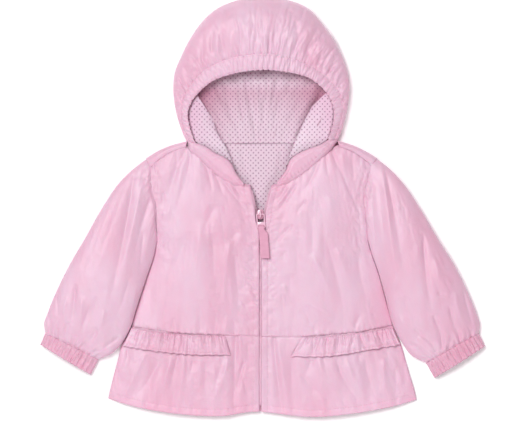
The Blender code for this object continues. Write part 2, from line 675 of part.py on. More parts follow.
def join_into(obj, tool):
    """Boolean union of a tool into an object; the tool becomes a guide."""
    union = obj.modifiers.new("Join " + tool.name, "BOOLEAN")
    union.operation = "UNION"
    union.object = tool
    GARMENT.objects.unlink(tool)
    GUIDES.objects.link(tool)
    tool.hide_render = True
    tool.display_type = "WIRE"


# ---------------------------------------------------------------- the pieces

def make_back(material):
    """Back panel: flat, with its shoulders rolled over to the seams on the front."""
    sides = []
    for side in SIDES:
        seam = line(chain(side.side_seam[::-1], side.armhole[::-1]), 10)
        sides.append(seam + np.array((-side.sign * BACK_INSET, 0.0)))
    shoulder = 7
    rolls = []
    tops = []
    for side in SIDES:
        edge = line(side.shoulder, shoulder)
        rim = edge - np.array((0.0, SHOULDER_REACH))
        rim[0] += np.array((-side.sign * SHOULDER_REACH, 0.0))
        tops.append(rim)
        seam = line(side.shoulder_seam, shoulder) + np.array((0.0, 2.0))
        seam[0] += np.array((0.0, 0.6))
        front_z = arch(np.linspace(0, 0.36, shoulder), 7.5, 13.0, 1.0)
        edge[0] += np.array((-side.sign * 0.8, 0.0))
        roll = [with_height(rim, np.full(shoulder, WALL))]
        for step in (0.35, 0.8):
            plan = rim + (edge - rim) * math.sin(step * math.pi / 2)
            roll.append(with_height(plan, np.full(shoulder, WALL + 0.6 + 3.5 * step)))
        roll.append(with_height(edge - np.array((0.0, 0.4)), 0.35 * front_z + 3.2))
        for step, lift in ((0.4, 0.85), (1.0, 1.0)):
            plan = edge + (seam - edge) * step
            roll.append(with_height(plan, front_z * lift))
        rolls.append(np.array(roll))
    neck_left, neck_right = tops[0][-1], tops[1][-1]
    neck = np.stack([np.linspace(neck_left[0], neck_right[0], 9),
                     np.linspace(neck_left[1], neck_right[1], 9)], axis=1)
    neck[1:-1, 1] = NECK_SEAM_Y - 0.6
    top = np.concatenate([tops[0][:-1], neck, tops[1][::-1][1:]])
    low_x = np.linspace(sides[0][0][0], sides[1][0][0], len(top))
    low = np.stack([low_x, WAIST_Y - WAIST_DIP * (1 - (low_x / WAIST_HALF)**2)], axis=1)
    for edge, corner_top, corner_low in ((sides[0], top[0], low[0]), (sides[1], top[-1], low[-1])):
        edge[0] = corner_low
        edge[-1] = corner_top
    plan = patch(low, top, sides[0], sides[1])
    flat = with_height(plan, np.full(plan.shape[:2], WALL))
    cloth("back_panel", [flat, *rolls], material)


def make_flat_backs(material):
    """The back of the skirt and the back of the hood, flat on the surface."""
    count = 21
    waist_x = np.linspace(-162, 162, count)
    waist = np.stack([waist_x, WAIST_Y - 2 * SEAM_GAP
                      - WAIST_DIP * (1 - (waist_x / WAIST_HALF)**2)], axis=1)
    hem = line(chain(LEFT.hem, ((0, HEM_CENTRE_Y),), RIGHT.hem[::-1]), count)
    hem = hem + np.array((0.0, 2.0))
    left = line(LEFT.peplum_side[::-1], 5) + np.array((2.0, 0.0))
    right = line(RIGHT.peplum_side[::-1], 5) + np.array((-2.0, 0.0))
    for edge, corner_low, corner_high in ((left, hem[0], waist[0]), (right, hem[-1], waist[-1])):
        edge[0] = corner_low
        edge[-1] = corner_high
    plan = patch(hem, waist, left, right)
    cloth("peplum_back", [with_height(plan, np.full(plan.shape[:2], WALL))], material)

    crown = crown_surface(25)
    outer = crown[-1][:, :2]
    neck = np.stack([np.linspace(-84, 84, len(outer)), np.full(len(outer), NECK_SEAM_Y)], axis=1)
    neck[:, 1] += SEAM_GAP
    edge = inside(outer, 2.4)
    plan = np.array([edge + (neck - edge) * step for step in (0.0, 0.5, 1.0)])
    cloth("hood_back", [with_height(plan, np.full(plan.shape[:2], WALL))], material)


def make_fronts(shell):
    for side in SIDES:
        cloth("front_" + side.name, [front_surface(side)], shell)
        cloth("peplum_" + side.name, [peplum_surface(side)], shell)
        cloth("ruffle_" + side.name, [ruffle_surface(side)], shell)


def make_sleeves(shell):
    for side in SIDES:
        cloth("sleeve_" + side.name, [sleeve_surface(side)], shell, wrap=True)
        cloth("cuff_" + side.name, [cuff_surface(side)], shell, wrap=True)


def make_hood(shell, casing, lining):
    cloth("hood_crown", [crown_surface()], shell)
    swept("hood_casing", casing_sections(), casing)
    cloth("hood_lining", [hood_lining_surface()], lining, LINING_WALL, face_up=False)
    cloth("hood_lining_back", [hood_lining_back_surface()], lining, LINING_WALL)


def make_linings(lining):
    """The lining of the hood's front corners and of the back neck, where they show."""
    for side in SIDES:
        fold = line(side.lining_fold, 8)
        rim = line(HOOD_RIM, 41)
        rim = rim[:9] if side.sign < 0 else rim[::-1][:9]
        outer = line(rim[::-1] - np.array((side.sign * 2.0, 0.0)), 8)
        corner = line(side.lapel_inner, 40)
        corner = corner[:33]
        low = line(corner[::6] - np.array((side.sign * 1.0, -1.0)), 7)
        outer = outer + (low[0] - outer[-1]) * np.linspace(0, 1, 8)[:, None]
        fold = fold + (low[-1] - fold[-1]) * np.linspace(0, 1, 8)[:, None]
        high = np.linspace(outer[0], fold[0], 7)
        plan = patch(high, low, outer, fold)
        u = np.linspace(0, 1, 7)[None, :]
        v = np.linspace(0, 1, 8)[:, None]
        height = 7.2 + 6.0 * (1 - u)**1.5 + 2.5 * np.sin(math.pi * u) * (1 - 0.5 * v)
        cloth("lining_corner_" + side.name, [with_height(plan, height)], lining, LINING_WALL)

    count = 5
    top_x = np.linspace(-NECK_LINING_HALF, NECK_LINING_HALF, count)
    top = np.stack([top_x, np.full(count, NECK_SEAM_Y - 0.2)], axis=1)
    low_x = np.linspace(-20, 18, count)
    low = np.stack([low_x, np.full(count, NECK_LINING_LOW_Y)], axis=1)
    left = np.linspace(low[0], top[0], 4)
    right = np.linspace(low[-1], top[-1], 4)
    plan = patch(low, top, left, right)
    flat = with_height(plan, np.full(plan.shape[:2], NECK_LINING_HEIGHT))
    cloth("neck_lining", [flat], lining, LINING_WALL)


def make_lapels(shell):
    """Front corners of the hood, turned down over the neckline of each front."""
    for side in SIDES:
        inner = line(side.lapel_inner, 15)
        outer = line(side.lapel_outer, 15)
        rows = []
        along = np.linspace(0, 1, 15)
        end = np.minimum(1, np.minimum(along, 1 - along) * 6 + 0.35)
        for step, lift in ((0.0, 1.5), (0.15, 4.2), (0.5, 5.2), (0.85, 2.6), (1.0, 0.4)):
            plan = inner + (outer - inner) * step
            rows.append(with_height(plan, LAPEL_HEIGHT + lift * end))
        cloth("lapel_" + side.name, [np.array(rows)], shell)


def make_zip(tape):
    """The two halves of the zip, under the folded edges of the fronts."""
    for side in SIDES:
        inner = zip_line(side, ZIP_SLOT - 0.2, ZIP_LOW_Y, ZIP_TOP_Y, 19)
        outer = inner + np.array((side.sign * ZIP_TAPE, 0.0))
        y = inner[:, 1]
        skirt = column(PEPLUM_ROWS, "zip", (y - HEM_CENTRE_Y) / (FRONT_LOW_Y - HEM_CENTRE_Y))
        torso = column(TORSO_ROWS, "zip", (y - FRONT_LOW_Y) / (FRONT_TOP_Y - FRONT_LOW_Y))
        height = np.where(y < FRONT_LOW_Y, skirt, torso) - ZIP_DROP
        rows = np.array([with_height(inner, height), with_height(outer, height)])
        cloth("zip_" + side.name, [rows], tape, LINING_WALL)


def make_slider(enamel):
    """The slider: two plates joined by a wedge, with a bridge on top for the pull."""
    tape_z = FRONT_HEIGHT - ZIP_DROP
    y_top = SLIDER_TOP_Y
    y_low = y_top - SLIDER_LENGTH
    half = SLIDER_WIDTH / 2
    upper = tape_z + 0.7
    lower = tape_z - LINING_WALL - 0.7
    body = box("slider", (ZIP_X - half, y_low, upper), (ZIP_X + half, y_top, upper + SLIDER_PLATE),
               enamel)
    under = box("slider_under", (ZIP_X - half, y_low, lower - SLIDER_PLATE),
                (ZIP_X + half, y_top, lower), enamel)
    nose = box("slider_nose", (ZIP_X - SLIDER_NOSE / 2, y_top - 3.0, lower - 0.5),
               (ZIP_X + SLIDER_NOSE / 2, y_top - 0.2, upper + 0.5), enamel)
    face = upper + SLIDER_PLATE
    arc = []
    for step in np.linspace(0, math.pi, 9):
        y = (y_top + y_low) / 2 + 4.2 * math.cos(step)
        arc.append((ZIP_X, y, face - 0.6 + (BRIDGE_RISE + 0.6) * math.sin(step)**0.6))
    bridge = wire_mesh("slider_bridge", arc, BRIDGE_WIRE, False, enamel)
    for tool in (under, nose, bridge):
        join_into(body, tool)
    return (ZIP_X, (y_top + y_low) / 2, face + PULL_WIRE + 1.8)


def make_pull(hinge, enamel, ribbon):
    """The link through the bridge, and the folded fabric tab on it."""
    tilt = math.radians(PULL_TILT)

    def spot(across, along, up):
        x = across * math.cos(tilt) + along * math.sin(tilt) if along > 1.0 else across
        y = -along * math.cos(tilt) if along > 1.0 else -along
        return (hinge[0] + x, hinge[1] + y, hinge[2] + up)

    w = PULL_HALF_WIDTH
    far = PULL_LINK
    link = [spot(-w + 0.7, 0, 0), spot(-w, 0.9, 0), spot(-w, far - 1.2, 0), spot(-w + 0.9, far, 0),
            spot(w - 0.9, far, 0), spot(w, far - 1.2, 0), spot(w, 0.9, 0), spot(w - 0.7, 0, 0)]
    wire_mesh("pull_link", link, PULL_WIRE, True, enamel)
    loop = PULL_WIRE + 0.35 + WALL
    outline = []
    for step in np.linspace(0.0, math.pi, 7):
        outline.append((far - loop * math.sin(step), loop * math.cos(step)))
    low_z = -TAB_SLOT / 2 - WALL
    top_z = TAB_SLOT / 2 + WALL
    upper = [(far + TAB_LENGTH, top_z), (far + 6.0, top_z), (far + 2.6, loop * 0.85)]
    lower = [(far + 2.6, -loop * 0.85), (far + 6.0, low_z), (far + TAB_LENGTH, low_z)]
    profile = upper + outline + lower
    rows = []
    for share in (-0.5, -0.25, 0.25, 0.5):
        row = []
        for tab_along, up in profile:
            if tab_along > far + 5.0:
                row.append(spot(share * TAB_WIDTH + TAB_SHIFT, tab_along, up))
            else:
                row.append(spot(share * TAB_NECK, tab_along, up))
        rows.append(row)
    cloth("pull_tab", [np.array(rows)], ribbon)


def main():
    shell = principled("shell cloth", SHELL_PINK, 0.45, 0.3)
    casing = principled("casing cloth", CASING_PINK, 0.45, 0.3)
    lining = principled("dotted lining", LINING_WHITE, 0.6)
    tape = principled("zip tape", ZIP_PINK, 0.7)
    ribbon = principled("pull ribbon", TAB_PINK, 0.6)
    enamel = principled("moulded zip parts", MOULDED_PINK, 0.35)
    make_back(shell)
    make_flat_backs(shell)
    make_fronts(shell)
    make_sleeves(shell)
    make_hood(shell, casing, lining)
    make_linings(lining)
    make_lapels(shell)
    make_zip(tape)
    hinge = make_slider(enamel)
    make_pull(hinge, enamel, ribbon)


for leftover in list(bpy.data.objects):
    bpy.data.objects.remove(leftover)
GARMENT = bpy.data.collections.new("windbreaker")
GUIDES = bpy.data.collections.new("guides")
bpy.context.scene.collection.children.link(GARMENT)
bpy.context.scene.collection.children.link(GUIDES)
main()
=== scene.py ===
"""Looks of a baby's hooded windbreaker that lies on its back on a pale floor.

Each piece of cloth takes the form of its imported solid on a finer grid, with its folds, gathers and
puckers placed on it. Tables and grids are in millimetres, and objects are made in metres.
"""

import math
from collections import namedtuple

import bmesh
import bpy
import numpy as np
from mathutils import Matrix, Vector
from mathutils.bvhtree import BVHTree


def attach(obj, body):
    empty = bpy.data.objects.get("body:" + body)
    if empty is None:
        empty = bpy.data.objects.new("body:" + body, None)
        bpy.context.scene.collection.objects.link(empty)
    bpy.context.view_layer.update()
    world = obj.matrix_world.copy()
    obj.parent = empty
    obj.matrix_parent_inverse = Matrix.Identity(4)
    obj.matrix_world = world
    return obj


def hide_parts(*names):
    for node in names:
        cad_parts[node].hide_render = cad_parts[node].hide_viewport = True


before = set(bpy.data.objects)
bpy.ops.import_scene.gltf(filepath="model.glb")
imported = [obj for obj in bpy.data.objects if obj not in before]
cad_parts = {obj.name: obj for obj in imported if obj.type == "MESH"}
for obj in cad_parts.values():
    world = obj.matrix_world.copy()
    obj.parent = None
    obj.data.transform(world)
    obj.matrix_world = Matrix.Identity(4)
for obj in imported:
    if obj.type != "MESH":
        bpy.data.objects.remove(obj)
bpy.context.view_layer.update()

MM = 0.001

# ---------------------------------------------------------------- sizes shared with the solids

SHEET = 0.6                # thickness of one layer of visible cloth
SEAM_GAP = 0.3
ZIP_X = -2.0
ZIP_SLOT = 0.8
ZIP_TAPE = 12.0
ZIP_DROP = 1.9
ROLL = 6.0
WALL = 1.2
CASING_THICK = 3.0
LINING_DROP = 2.4
LINING_INSET = 5.0
LINING_BACK_INSET = 3.6
NECK_SEAM_Y = 82.0
WAIST_Y = -148.0
WAIST_DIP = 11.0
WAIST_HALF = 164.0
HEM_CENTRE_Y = -253.5
FRONT_LOW_Y = -159.0       # foot of the fronts at the zip
FRONT_HEIGHT = 186.5       # from there to the top of the fronts
SKIRT_HEIGHT = 94.5
ZIP_LOW_Y = -246.0
ZIP_TOP_Y = 24.0
FRONT_AT_ZIP = 13.0        # height of the fronts beside the slider
SLEEVE_LENGTH = 245.0
CUFF_LENGTH = 17.0
HOOD_ARC = 385.0           # length of the casing's seam
CASING_WIDTH = 19.0
LAPEL_LENGTH = 90.0
LAPEL_BASE = 14.2
LAPEL_STITCH_IN = 4.6
LAPEL_STITCH_OUT = 3.6
CUFF_STITCH_ROWS = (6, 12)
ARMHOLE_STITCH = 9.0
SEAM_EASE = 0.9
CUFF_HEIGHT = 13.0
RUFFLE_LIFT = 2.4
RUFFLE_WAVE = 1.6
PLACKET = 8.6              # from the folded edge at the zip to its line of stitches
HEM = 9.0
FOLD_DEPTH = 1.9           # all of the folds in the tables are this much deeper

# ---------------------------------------------------------------- outlines (x, y in mm)

Side = namedtuple("Side", "name sign armhole side_seam shoulder shoulder_seam neckline waist hem "
                          "peplum_side zip_edge sleeve_outer sleeve_inner cuff_seam cuff_edge "
                          "ruffle_top ruffle_hem lapel_inner lapel_outer lining_fold")

LEFT = Side(
    name="left",
    sign=-1,
    # from the shoulder down to the armpit
    armhole=((-144.5, 63), (-141, 51), (-142, 35), (-139, 19), (-134.5, 1), (-134.5, -16),
             (-132, -41)),
    # from the armpit down to the waist
    side_seam=((-132, -41), (-135, -57.5), (-144, -85), (-157.5, -126), (-164, -147.5)),
    # the rolled edge of the shoulder, and the seam that lies a little in front of it
    shoulder=((-144.5, 63), (-130, 72), (-116, 78), (-93.5, 84.2)),
    shoulder_seam=((-141, 51), (-130, 61), (-114.5, 71), (-95, 78)),
    neckline=((-95, 78), (-89.5, 74), (-75.5, 62), (-60.5, 47.5), (-47.5, 38), (-32.5, 31),
              (-13, 27.5)),
    waist=((-164, -147.5), (-121, -154), (-77.5, -157), (-45, -158), (-11.5, -159)),
    hem=((-192.5, -237), (-175, -242.8), (-157.5, -247.5), (-115, -255), (-77.5, -258.5),
         (-45, -258.5), (-19, -254.2)),
    peplum_side=((-164, -147.5), (-176, -171), (-180.5, -189), (-186, -210), (-190, -226),
                 (-192.5, -237)),
    zip_edge=((0, -253.5), (0, -159), (0, -34), (0.5, -27), (4.6, -15), (5.4, 0), (11, 27.5)),
    sleeve_outer=((-144.5, 63), (-160, 51), (-180, 31), (-200, 1), (-222.5, -39), (-240, -69),
                  (-255, -99), (-267.5, -129), (-272.5, -145), (-271, -155)),
    sleeve_inner=((-132, -41), (-135, -57.5), (-144, -85), (-157.5, -126), (-164, -147.5),
                  (-177.5, -171), (-187.5, -181), (-204, -188)),
    cuff_seam=((-271, -155), (-237.5, -171), (-204, -188)),
    cuff_edge=((-277, -169), (-245, -189), (-214, -207)),
    ruffle_top=((-163, -148.5), (-121, -154.5), (-77.5, -157.5), (-46, -158.8)),
    ruffle_hem=((-174, -171.5), (-140, -177), (-90, -182), (-39, -182.5)),
    lapel_inner=((-81.5, 82), (-69.5, 77.5), (-58, 69.5), (-47.5, 65), (-39, 57.5), (-32.5, 45),
                 (-23, 33)),
    lapel_outer=((-90.5, 83), (-89, 75), (-75, 63), (-60.5, 48), (-47.5, 38), (-35, 31.5),
                 (-23, 29)),
    lining_fold=((-61, 112), (-55, 95), (-43, 75), (-30, 45)),
)

RIGHT = Side(
    name="right",
    sign=1,
    armhole=((144, 63), (137, 55), (136, 42.5), (133.5, 30.5), (128, 13), (130.5, -6),
             (132.5, -22.5), (132.5, -36)),
    side_seam=((132.5, -36), (138, -57.5), (144, -74), (154, -109), (164, -146)),
    shoulder=((144, 63), (133.5, 69.5), (114, 79), (94, 85.2)),
    shoulder_seam=((137, 55), (123, 66), (110.5, 73.5), (97, 78)),
    neckline=((97, 78), (84, 71.5), (71, 61.5), (56, 48.5), (40, 37.5), (22.5, 30.5), (10.5, 27.5)),
    waist=((164, -146), (122.5, -154), (85, -157.5), (47.5, -160), (7.5, -159.5)),
    hem=((193.5, -238.5), (169, -245.8), (141, -251.5), (112.5, -256), (60, -260), (14, -255.2)),
    peplum_side=((164, -146), (174.5, -171), (179.5, -189), (186, -211), (190.5, -226),
                 (193.5, -238.5)),
    zip_edge=((0, -253.5), (0, -159), (0, -34), (0.5, -27), (4.6, -15), (5.8, 0), (12.5, 27.5)),
    sleeve_outer=((144, 63), (159, 51), (177.5, 31), (197.5, 1), (221, -39), (240, -69),
                  (255, -99), (267.5, -129), (272.5, -146), (271, -155)),
    sleeve_inner=((132.5, -36), (138, -57.5), (144, -74), (154, -109), (164, -146), (176, -169),
                  (186, -182.5), (205, -192.5)),
    cuff_seam=((271, -155), (237.5, -173), (205, -192.5)),
    cuff_edge=((279, -171), (247.5, -192.5), (215.5, -211)),
    ruffle_top=((162.5, -148), (122.5, -155), (85, -158.5), (50, -160.8)),
    ruffle_hem=((172.5, -170), (135, -176), (85, -184), (36, -184.5)),
    lapel_inner=((82, 86), (74, 81), (57.5, 75), (42.5, 67.5), (36, 62.5), (30, 49), (19, 34)),
    lapel_outer=((91, 84), (82.5, 73), (71, 63), (56, 49.5), (40, 38), (27.5, 31.5), (19, 29)),
    lining_fold=((62, 128), (52, 108), (40, 80), (31, 52)),
)

SIDES = (LEFT, RIGHT)

# From the left end of the neck over the top of the hood to the right end.
HOOD_OUTLINE = ((-95, 85.5), (-100.5, 98), (-105, 111), (-109.5, 131), (-111, 151), (-109, 171),
                (-101, 191), (-91, 211), (-77.5, 231), (-60, 248), (-37.5, 259), (0, 264),
                (37.5, 260), (59, 250), (75, 232.5), (91, 211), (100.5, 191), (107.5, 171),
                (110, 154), (108, 131), (104, 111), (100, 98), (95.5, 86.5))
HOOD_SEAM = ((-91, 86.5), (-96.5, 98), (-100.5, 112.5), (-100, 130), (-94.5, 146), (-84.5, 160.5),
             (-71, 174), (-56, 182), (-39, 188.5), (-20, 192), (0, 193.5), (19, 193), (34, 189),
             (51.5, 182.5), (65, 176), (79.5, 165), (91, 154), (99.5, 139), (101, 123.5),
             (97.5, 106), (91, 87.5))
HOOD_RIM = ((-84.5, 85), (-87.5, 94), (-91, 106), (-92.5, 119), (-87.5, 134), (-77, 147),
            (-62.5, 159), (-44.5, 166), (-27.5, 170), (-14, 172), (0, 173), (19, 172), (34, 170),
            (47.5, 167), (59, 163), (71, 154.5), (81, 144), (87, 134), (90, 120.5), (88.5, 106),
            (82.5, 87))

# ---------------------------------------------------------------- heights (mm)

# A row for each level of the fronts: how far up the piece it is, the height at the side, the
# height at the zip, and how far the cloth swells between them.
TorsoRow = namedtuple("TorsoRow", "along side zip swell")
TORSO_ROWS = (
    TorsoRow(0.00, 2.4, 10.5, 3.0),
    TorsoRow(0.30, 2.4, 11.5, 5.0),
    TorsoRow(0.50, 3.0, 12.5, 5.5),
    TorsoRow(0.70, 8.0, 13.0, 4.5),
    TorsoRow(0.90, 8.5, 13.0, 3.0),
    TorsoRow(1.00, 7.5, 13.0, 1.0),
)

# The same for the skirt below the waist seam, from the hem up.
PEPLUM_ROWS = (
    TorsoRow(0.00, 2.4, 8.5, 4.0),
    TorsoRow(0.50, 2.4, 9.5, 4.5),
    TorsoRow(1.00, 2.4, 10.5, 3.0),
)

# A row for each section of a sleeve: how far down the arm it is, and its height.
SleeveRow = namedtuple("SleeveRow", "along height")
SLEEVE_ROWS = (
    SleeveRow(0.00, 13.0),
    SleeveRow(0.15, 18.0),
    SleeveRow(0.40, 23.0),
    SleeveRow(0.75, 23.0),
    SleeveRow(0.92, 19.0),
    SleeveRow(1.00, 14.0),
)

# A row for each place round the hood: the heights of the face edge, of the seam behind the
# casing, and how far the crown swells above that seam.
HoodRow = namedtuple("HoodRow", "along rim seam swell")
HOOD_ROWS = (
    HoodRow(0.00, 17.0, 12.0, 0.0),
    HoodRow(0.12, 21.0, 17.5, 0.5),
    HoodRow(0.28, 29.0, 27.0, 2.0),
    HoodRow(0.50, 37.0, 37.0, 5.0),
    HoodRow(0.72, 29.0, 27.0, 2.0),
    HoodRow(0.88, 21.0, 17.5, 0.5),
    HoodRow(1.00, 17.0, 12.0, 0.0),
)

# Folds as they lie in the cloth: from, to, width, rise (below 0 for a trough) and how far the
# middle bends to the left of the run.
Fold = namedtuple("Fold", "x0 y0 x1 y1 width rise bend")


def folds(*rows):
    return tuple(Fold(*row) for row in rows)


FRONT_LEFT = folds(
    (-92.5, 76.2, -121.2, -5, 5, -1.6, -3.9), (-91.2, 76.2, -121.9, -28.8, 6, -1.3, 6.4),
    (-100, 61.2, -110, -7.5, 5, 0.9, 0.1), (-107.5, 70, -113.8, 27.5, 3.5, -0.9, 2.3),
    (-75, 63.8, -61.8, 21.2, 3.6, -1.5, 1.7), (-59, 45.5, -47.5, 15, 3.2, -1.6, 0.2),
    (-47, 31.2, -16.5, -9.4, 3, -1.4, 1.1), (-36.2, 28.8, -15.5, -1.2, 3, -1.2, 1.1),
    (-41.2, 31.2, -21.2, -6.2, 2.6, 0.8, 0.4), (-126.5, -48.2, -113.5, -37.5, 3.2, -1.1, 1.3),
    (-91.2, -37.5, -115.4, -116.2, 10, -1.5, -6.4), (-77.5, -23.8, -90, -113.8, 12, 1.2, 0.9),
    (-60, 1.2, -77.5, -36.2, 8, -1.2, -0.6), (-61.2, -38.8, -57.5, -105, 10, -1.8, -0.6),
    (-40, -48.8, -45, -131.2, 7, 1.4, -3.4), (-33.1, -66.2, -26.2, -136.2, 5, -1.3, -0.9),
    (-30, -27.5, -45, -42.5, 6, -1.1, 0), (-11.2, -62.5, -18.8, -68.8, 2.4, -0.7, -0.5),
    (-12.5, -115, -25, -120, 2.6, -0.8, -0.6), (-12.5, -92.5, -30, -102.5, 3.4, -0.7, -1.1),
    (-121.2, -152.5, -119.4, -141.2, 2.6, -0.9, 0.8), (-113.1, -152.5, -110, -136.2, 3, -0.8, 0.8),
    (-77.5, -152.5, -78.8, -113.8, 5, -1, -0.6), (-58.8, -155, -57.5, -126.2, 4, -0.7, 0.6),
    (-35, -156.2, -35, -136.2, 4, -1.1, 0), (-45, -156.2, -43.8, -133.8, 4, 0.8, 0.6),
    (-126.5, 58.8, -129.2, 33.8, 4, -0.8, -0.9), (-121.9, 21.2, -121, -5, 3, -1.1, -2.4),
    (-133.8, 5, -127.5, -21.2, 3, 0.7, -0.7), (-130, -51.2, -112.5, -66.2, 6, 0.9, -1.8),
    (-137.5, -95, -140, -145, 8, -0.9, -1.2),
)
FRONT_RIGHT = folds(
    (80, 68.8, 82.7, 41.2, 2.6, -1.4, -0.7), (87.3, 74.4, 125, -10, 4.4, -1.8, -1.5),
    (95, 56.2, 117.5, -6.2, 4, 0.9, -1.3), (70.9, 61.8, 47.5, 16.2, 3.4, -1.4, 2.5),
    (54.5, 9, 41.7, -7.5, 3, -0.9, -0.7), (40.9, 28.1, 16.2, -7.5, 3, -1.6, 0.4),
    (30, 27.1, 17.5, 7.5, 3, -1.2, -0.1), (35, 27.5, 15, 0, 2.4, 0.8, 0.9),
    (36.2, -22.5, 13.8, -46.2, 3.2, -1.3, -1.2), (11.9, -27.5, 23.8, -28.8, 2.6, -0.8, 0),
    (117.3, -14.6, 125.6, -22.5, 2.6, -1.2, 0.2), (123.8, 18.8, 121.9, 2.5, 3, -1.1, -0.4),
    (133.8, 48.8, 126.9, 27.5, 3, 1, -0.5), (112.5, 61.2, 117.5, 21.2, 5, -0.8, 0),
    (100, 66.2, 105, 36.2, 5, 0.7, 0), (63.8, -61.2, 87.5, -115, 7, 1.3, 2.5),
    (81.2, -43.8, 102.5, -128.8, 7, -1.5, 1.2), (94.4, -53.8, 109.4, -101.2, 7, 1.2, 1.5),
    (122.5, -58.8, 136.2, -123.8, 8, -1.4, -4.9), (27.5, -53.8, 27.5, -66.2, 4, -0.8, 0),
    (35, -83.8, 35.5, -108.8, 7, -0.9, -0.2), (27.5, -96.2, 35, -118.8, 4, 1, -0.8),
    (26.2, -108.8, 26.2, -136.2, 4, -1.2, 0), (13.8, -126.2, 17.5, -137.5, 3, -0.8, -0.8),
    (117.3, -147.5, 126.2, -128.8, 4, -1.3, 1.9), (65.4, -152.5, 67.5, -138.8, 4, -0.9, 0.2),
    (61.2, -143.8, 51.2, -122.5, 6, -0.8, 0.3), (85, -136.2, 47.5, -113.8, 9, 0.9, -1.7),
    (42.5, -43.8, 52.5, -88.8, 10, -0.9, -1.2), (60, -7.5, 67.5, -51.2, 10, -0.8, -1.1),
    (85, 11.2, 92.5, -33.8, 10, 0.8, -1.2), (8.8, -66.2, 16.2, -71.2, 2.4, -0.7, 1),
    (8.8, -92.5, 18.8, -98.8, 2.6, -0.7, 0.5),
)
PEPLUM_LEFT = folds(
    (-126.2, -183.8, -158.8, -236.2, 8, -2.4, 2.5), (-105, -185, -118.8, -242.5, 4.4, -1.6, -1),
    (-167.5, -175, -170, -191.2, 3.4, -1.2, -0.1), (-86.2, -191.2, -91.2, -213.8, 4, -1.1, -0.1),
    (-115, -191.2, -130, -238.8, 8, 1.4, 0.9), (-97.5, -188.8, -102.5, -243.8, 6, 1, 1),
    (-42.5, -191.2, -57.5, -236.2, 6, 1.6, 0), (-52.5, -198.8, -62.5, -236.2, 4, -0.9, -0.3),
    (-33, -158.8, -35.7, -253.8, 4.2, -2.2, -0), (-22.1, -192.5, -30.4, -228.8, 3.2, -1.8, -1.6),
    (-42.5, -163.8, -38.1, -182.5, 3.4, -1.4, -0.1), (-27.5, -161.2, -26.2, -191.2, 3.4, 1.2, -0.6),
    (-22.5, -215, -16.2, -236.2, 3, -1, -0.5), (-180, -203.8, -175, -226.2, 5, -1.1, -0.6),
    (-71.2, -191.2, -73.8, -241.2, 6, -1, 0.6), (-147.5, -183.8, -170, -228.8, 6, 1.2, 1.1),
    (-17.5, -170, -16.2, -203.8, 3, -0.8, -0.6), (-10, -176.2, -7.5, -236.2, 3, 0.5, -0),
)
PEPLUM_RIGHT = folds(
    (15.6, -163.8, 26.2, -253.8, 3.6, -2.2, -1.8), (21.2, -171.2, 35, -248.8, 6, 1.5, -1.7),
    (62.5, -187.5, 51.2, -212.5, 6, -2, 0.6), (52.5, -211.2, 85, -241.2, 7, -1.3, -1.7),
    (72.5, -191.2, 87.5, -228.8, 8, 1.1, -1.6), (96.2, -193.8, 121.2, -241.2, 4.4, -1.7, -3.4),
    (107.5, -191.2, 130, -236.2, 5, 1, -2.3), (121.2, -181.2, 121.2, -196.2, 3.6, -1.2, 0),
    (130, -191.2, 142.5, -238.8, 9, -2, -1.5), (152.5, -191.2, 153.8, -233.8, 5, 1.4, -0.6),
    (167.5, -201.2, 168.8, -231.2, 5, -1.1, -0.6), (178.8, -191.2, 182.5, -218.8, 4.4, -1.4, -0.6),
    (76.6, -186.2, 78.8, -201.2, 3.4, -1, -0.2), (37.5, -191.2, 40, -243.8, 7, -0.9, -1.2),
    (7.5, -170, 10, -203.8, 3, -0.9, 0.1), (5, -213.8, 7.5, -243.8, 3, -0.8, -0),
    (47.5, -170, 35, -188.8, 4, -0.9, -0.4),
)
SLEEVE_LEFT = folds(
    (-161.2, 38.1, -147.5, 40.6, 2.6, -0.9, 0.8), (-162.5, 31.2, -190, -116.2, 5.5, -2.4, 2.5),
    (-152.5, 23.8, -180, -101.2, 8, 1.8, 1.3), (-140, 12.5, -161.2, -66.2, 5, -1.7, -1.5),
    (-136.2, -8.8, -148.8, -66.2, 6, 1.2, 1), (-148.8, -32.5, -153.8, -82.5, 4, -1, 0.5),
    (-177.5, 11.2, -217.5, -101.2, 11, 1, 2), (-190, -7.5, -222.5, -76.2, 9, -0.8, -1.4),
    (-233.1, -98.8, -238.8, -145, 3.4, -2, 1), (-255.6, -108.8, -253.1, -136.2, 3.2, -1.5, -0.6),
    (-216.2, -126.2, -233.1, -168.8, 4, -1.6, 0.8), (-206.2, -152.5, -225, -177.5, 3.6, -1.9, 0.5),
    (-180, -161.2, -215, -183.8, 3.6, -2, 0.7), (-175, -168.8, -205, -188.8, 4, 1.2, 0),
    (-242.5, -142.5, -248.1, -161.2, 3, -1.5, 0.1), (-225, -113.8, -228.8, -153.8, 5, 1.2, 0.7),
    (-245, -113.8, -250, -151.2, 4, 1.2, 0), (-265, -136.2, -265, -156.2, 3, -1.2, 0),
    (-207.5, -113.8, -217.5, -151.2, 5, -0.9, 1.3), (-197.5, -128.8, -207.5, -161.2, 5, 1.1, 1.6),
    (-157.5, -101.2, -170, -151.2, 6, 1, 1.2), (-167.5, -91.2, -187.5, -148.8, 6, -1.1, 1.6),
    (-152.5, -128.8, -167.5, -156.2, 5, -1, 0.6), (-255.6, -165, -253.8, -151.2, 2.2, -1.3, 0.2),
    (-250, -168.8, -246.2, -151.2, 2.2, 1.2, 0.7), (-240.6, -171.2, -237.5, -156.2, 2.2, -1.4, 0.3),
    (-235, -172.5, -231.2, -158.8, 2.2, 1.2, -0.1), (-225.6, -178.8, -220, -163.8, 2.2, -1.4, -0.2),
    (-214.4, -186.2, -207.5, -172.5, 2.2, 1.2, 0.5), (-266.9, -155, -266.2, -143.8, 2.2, 1, 0.4),
)
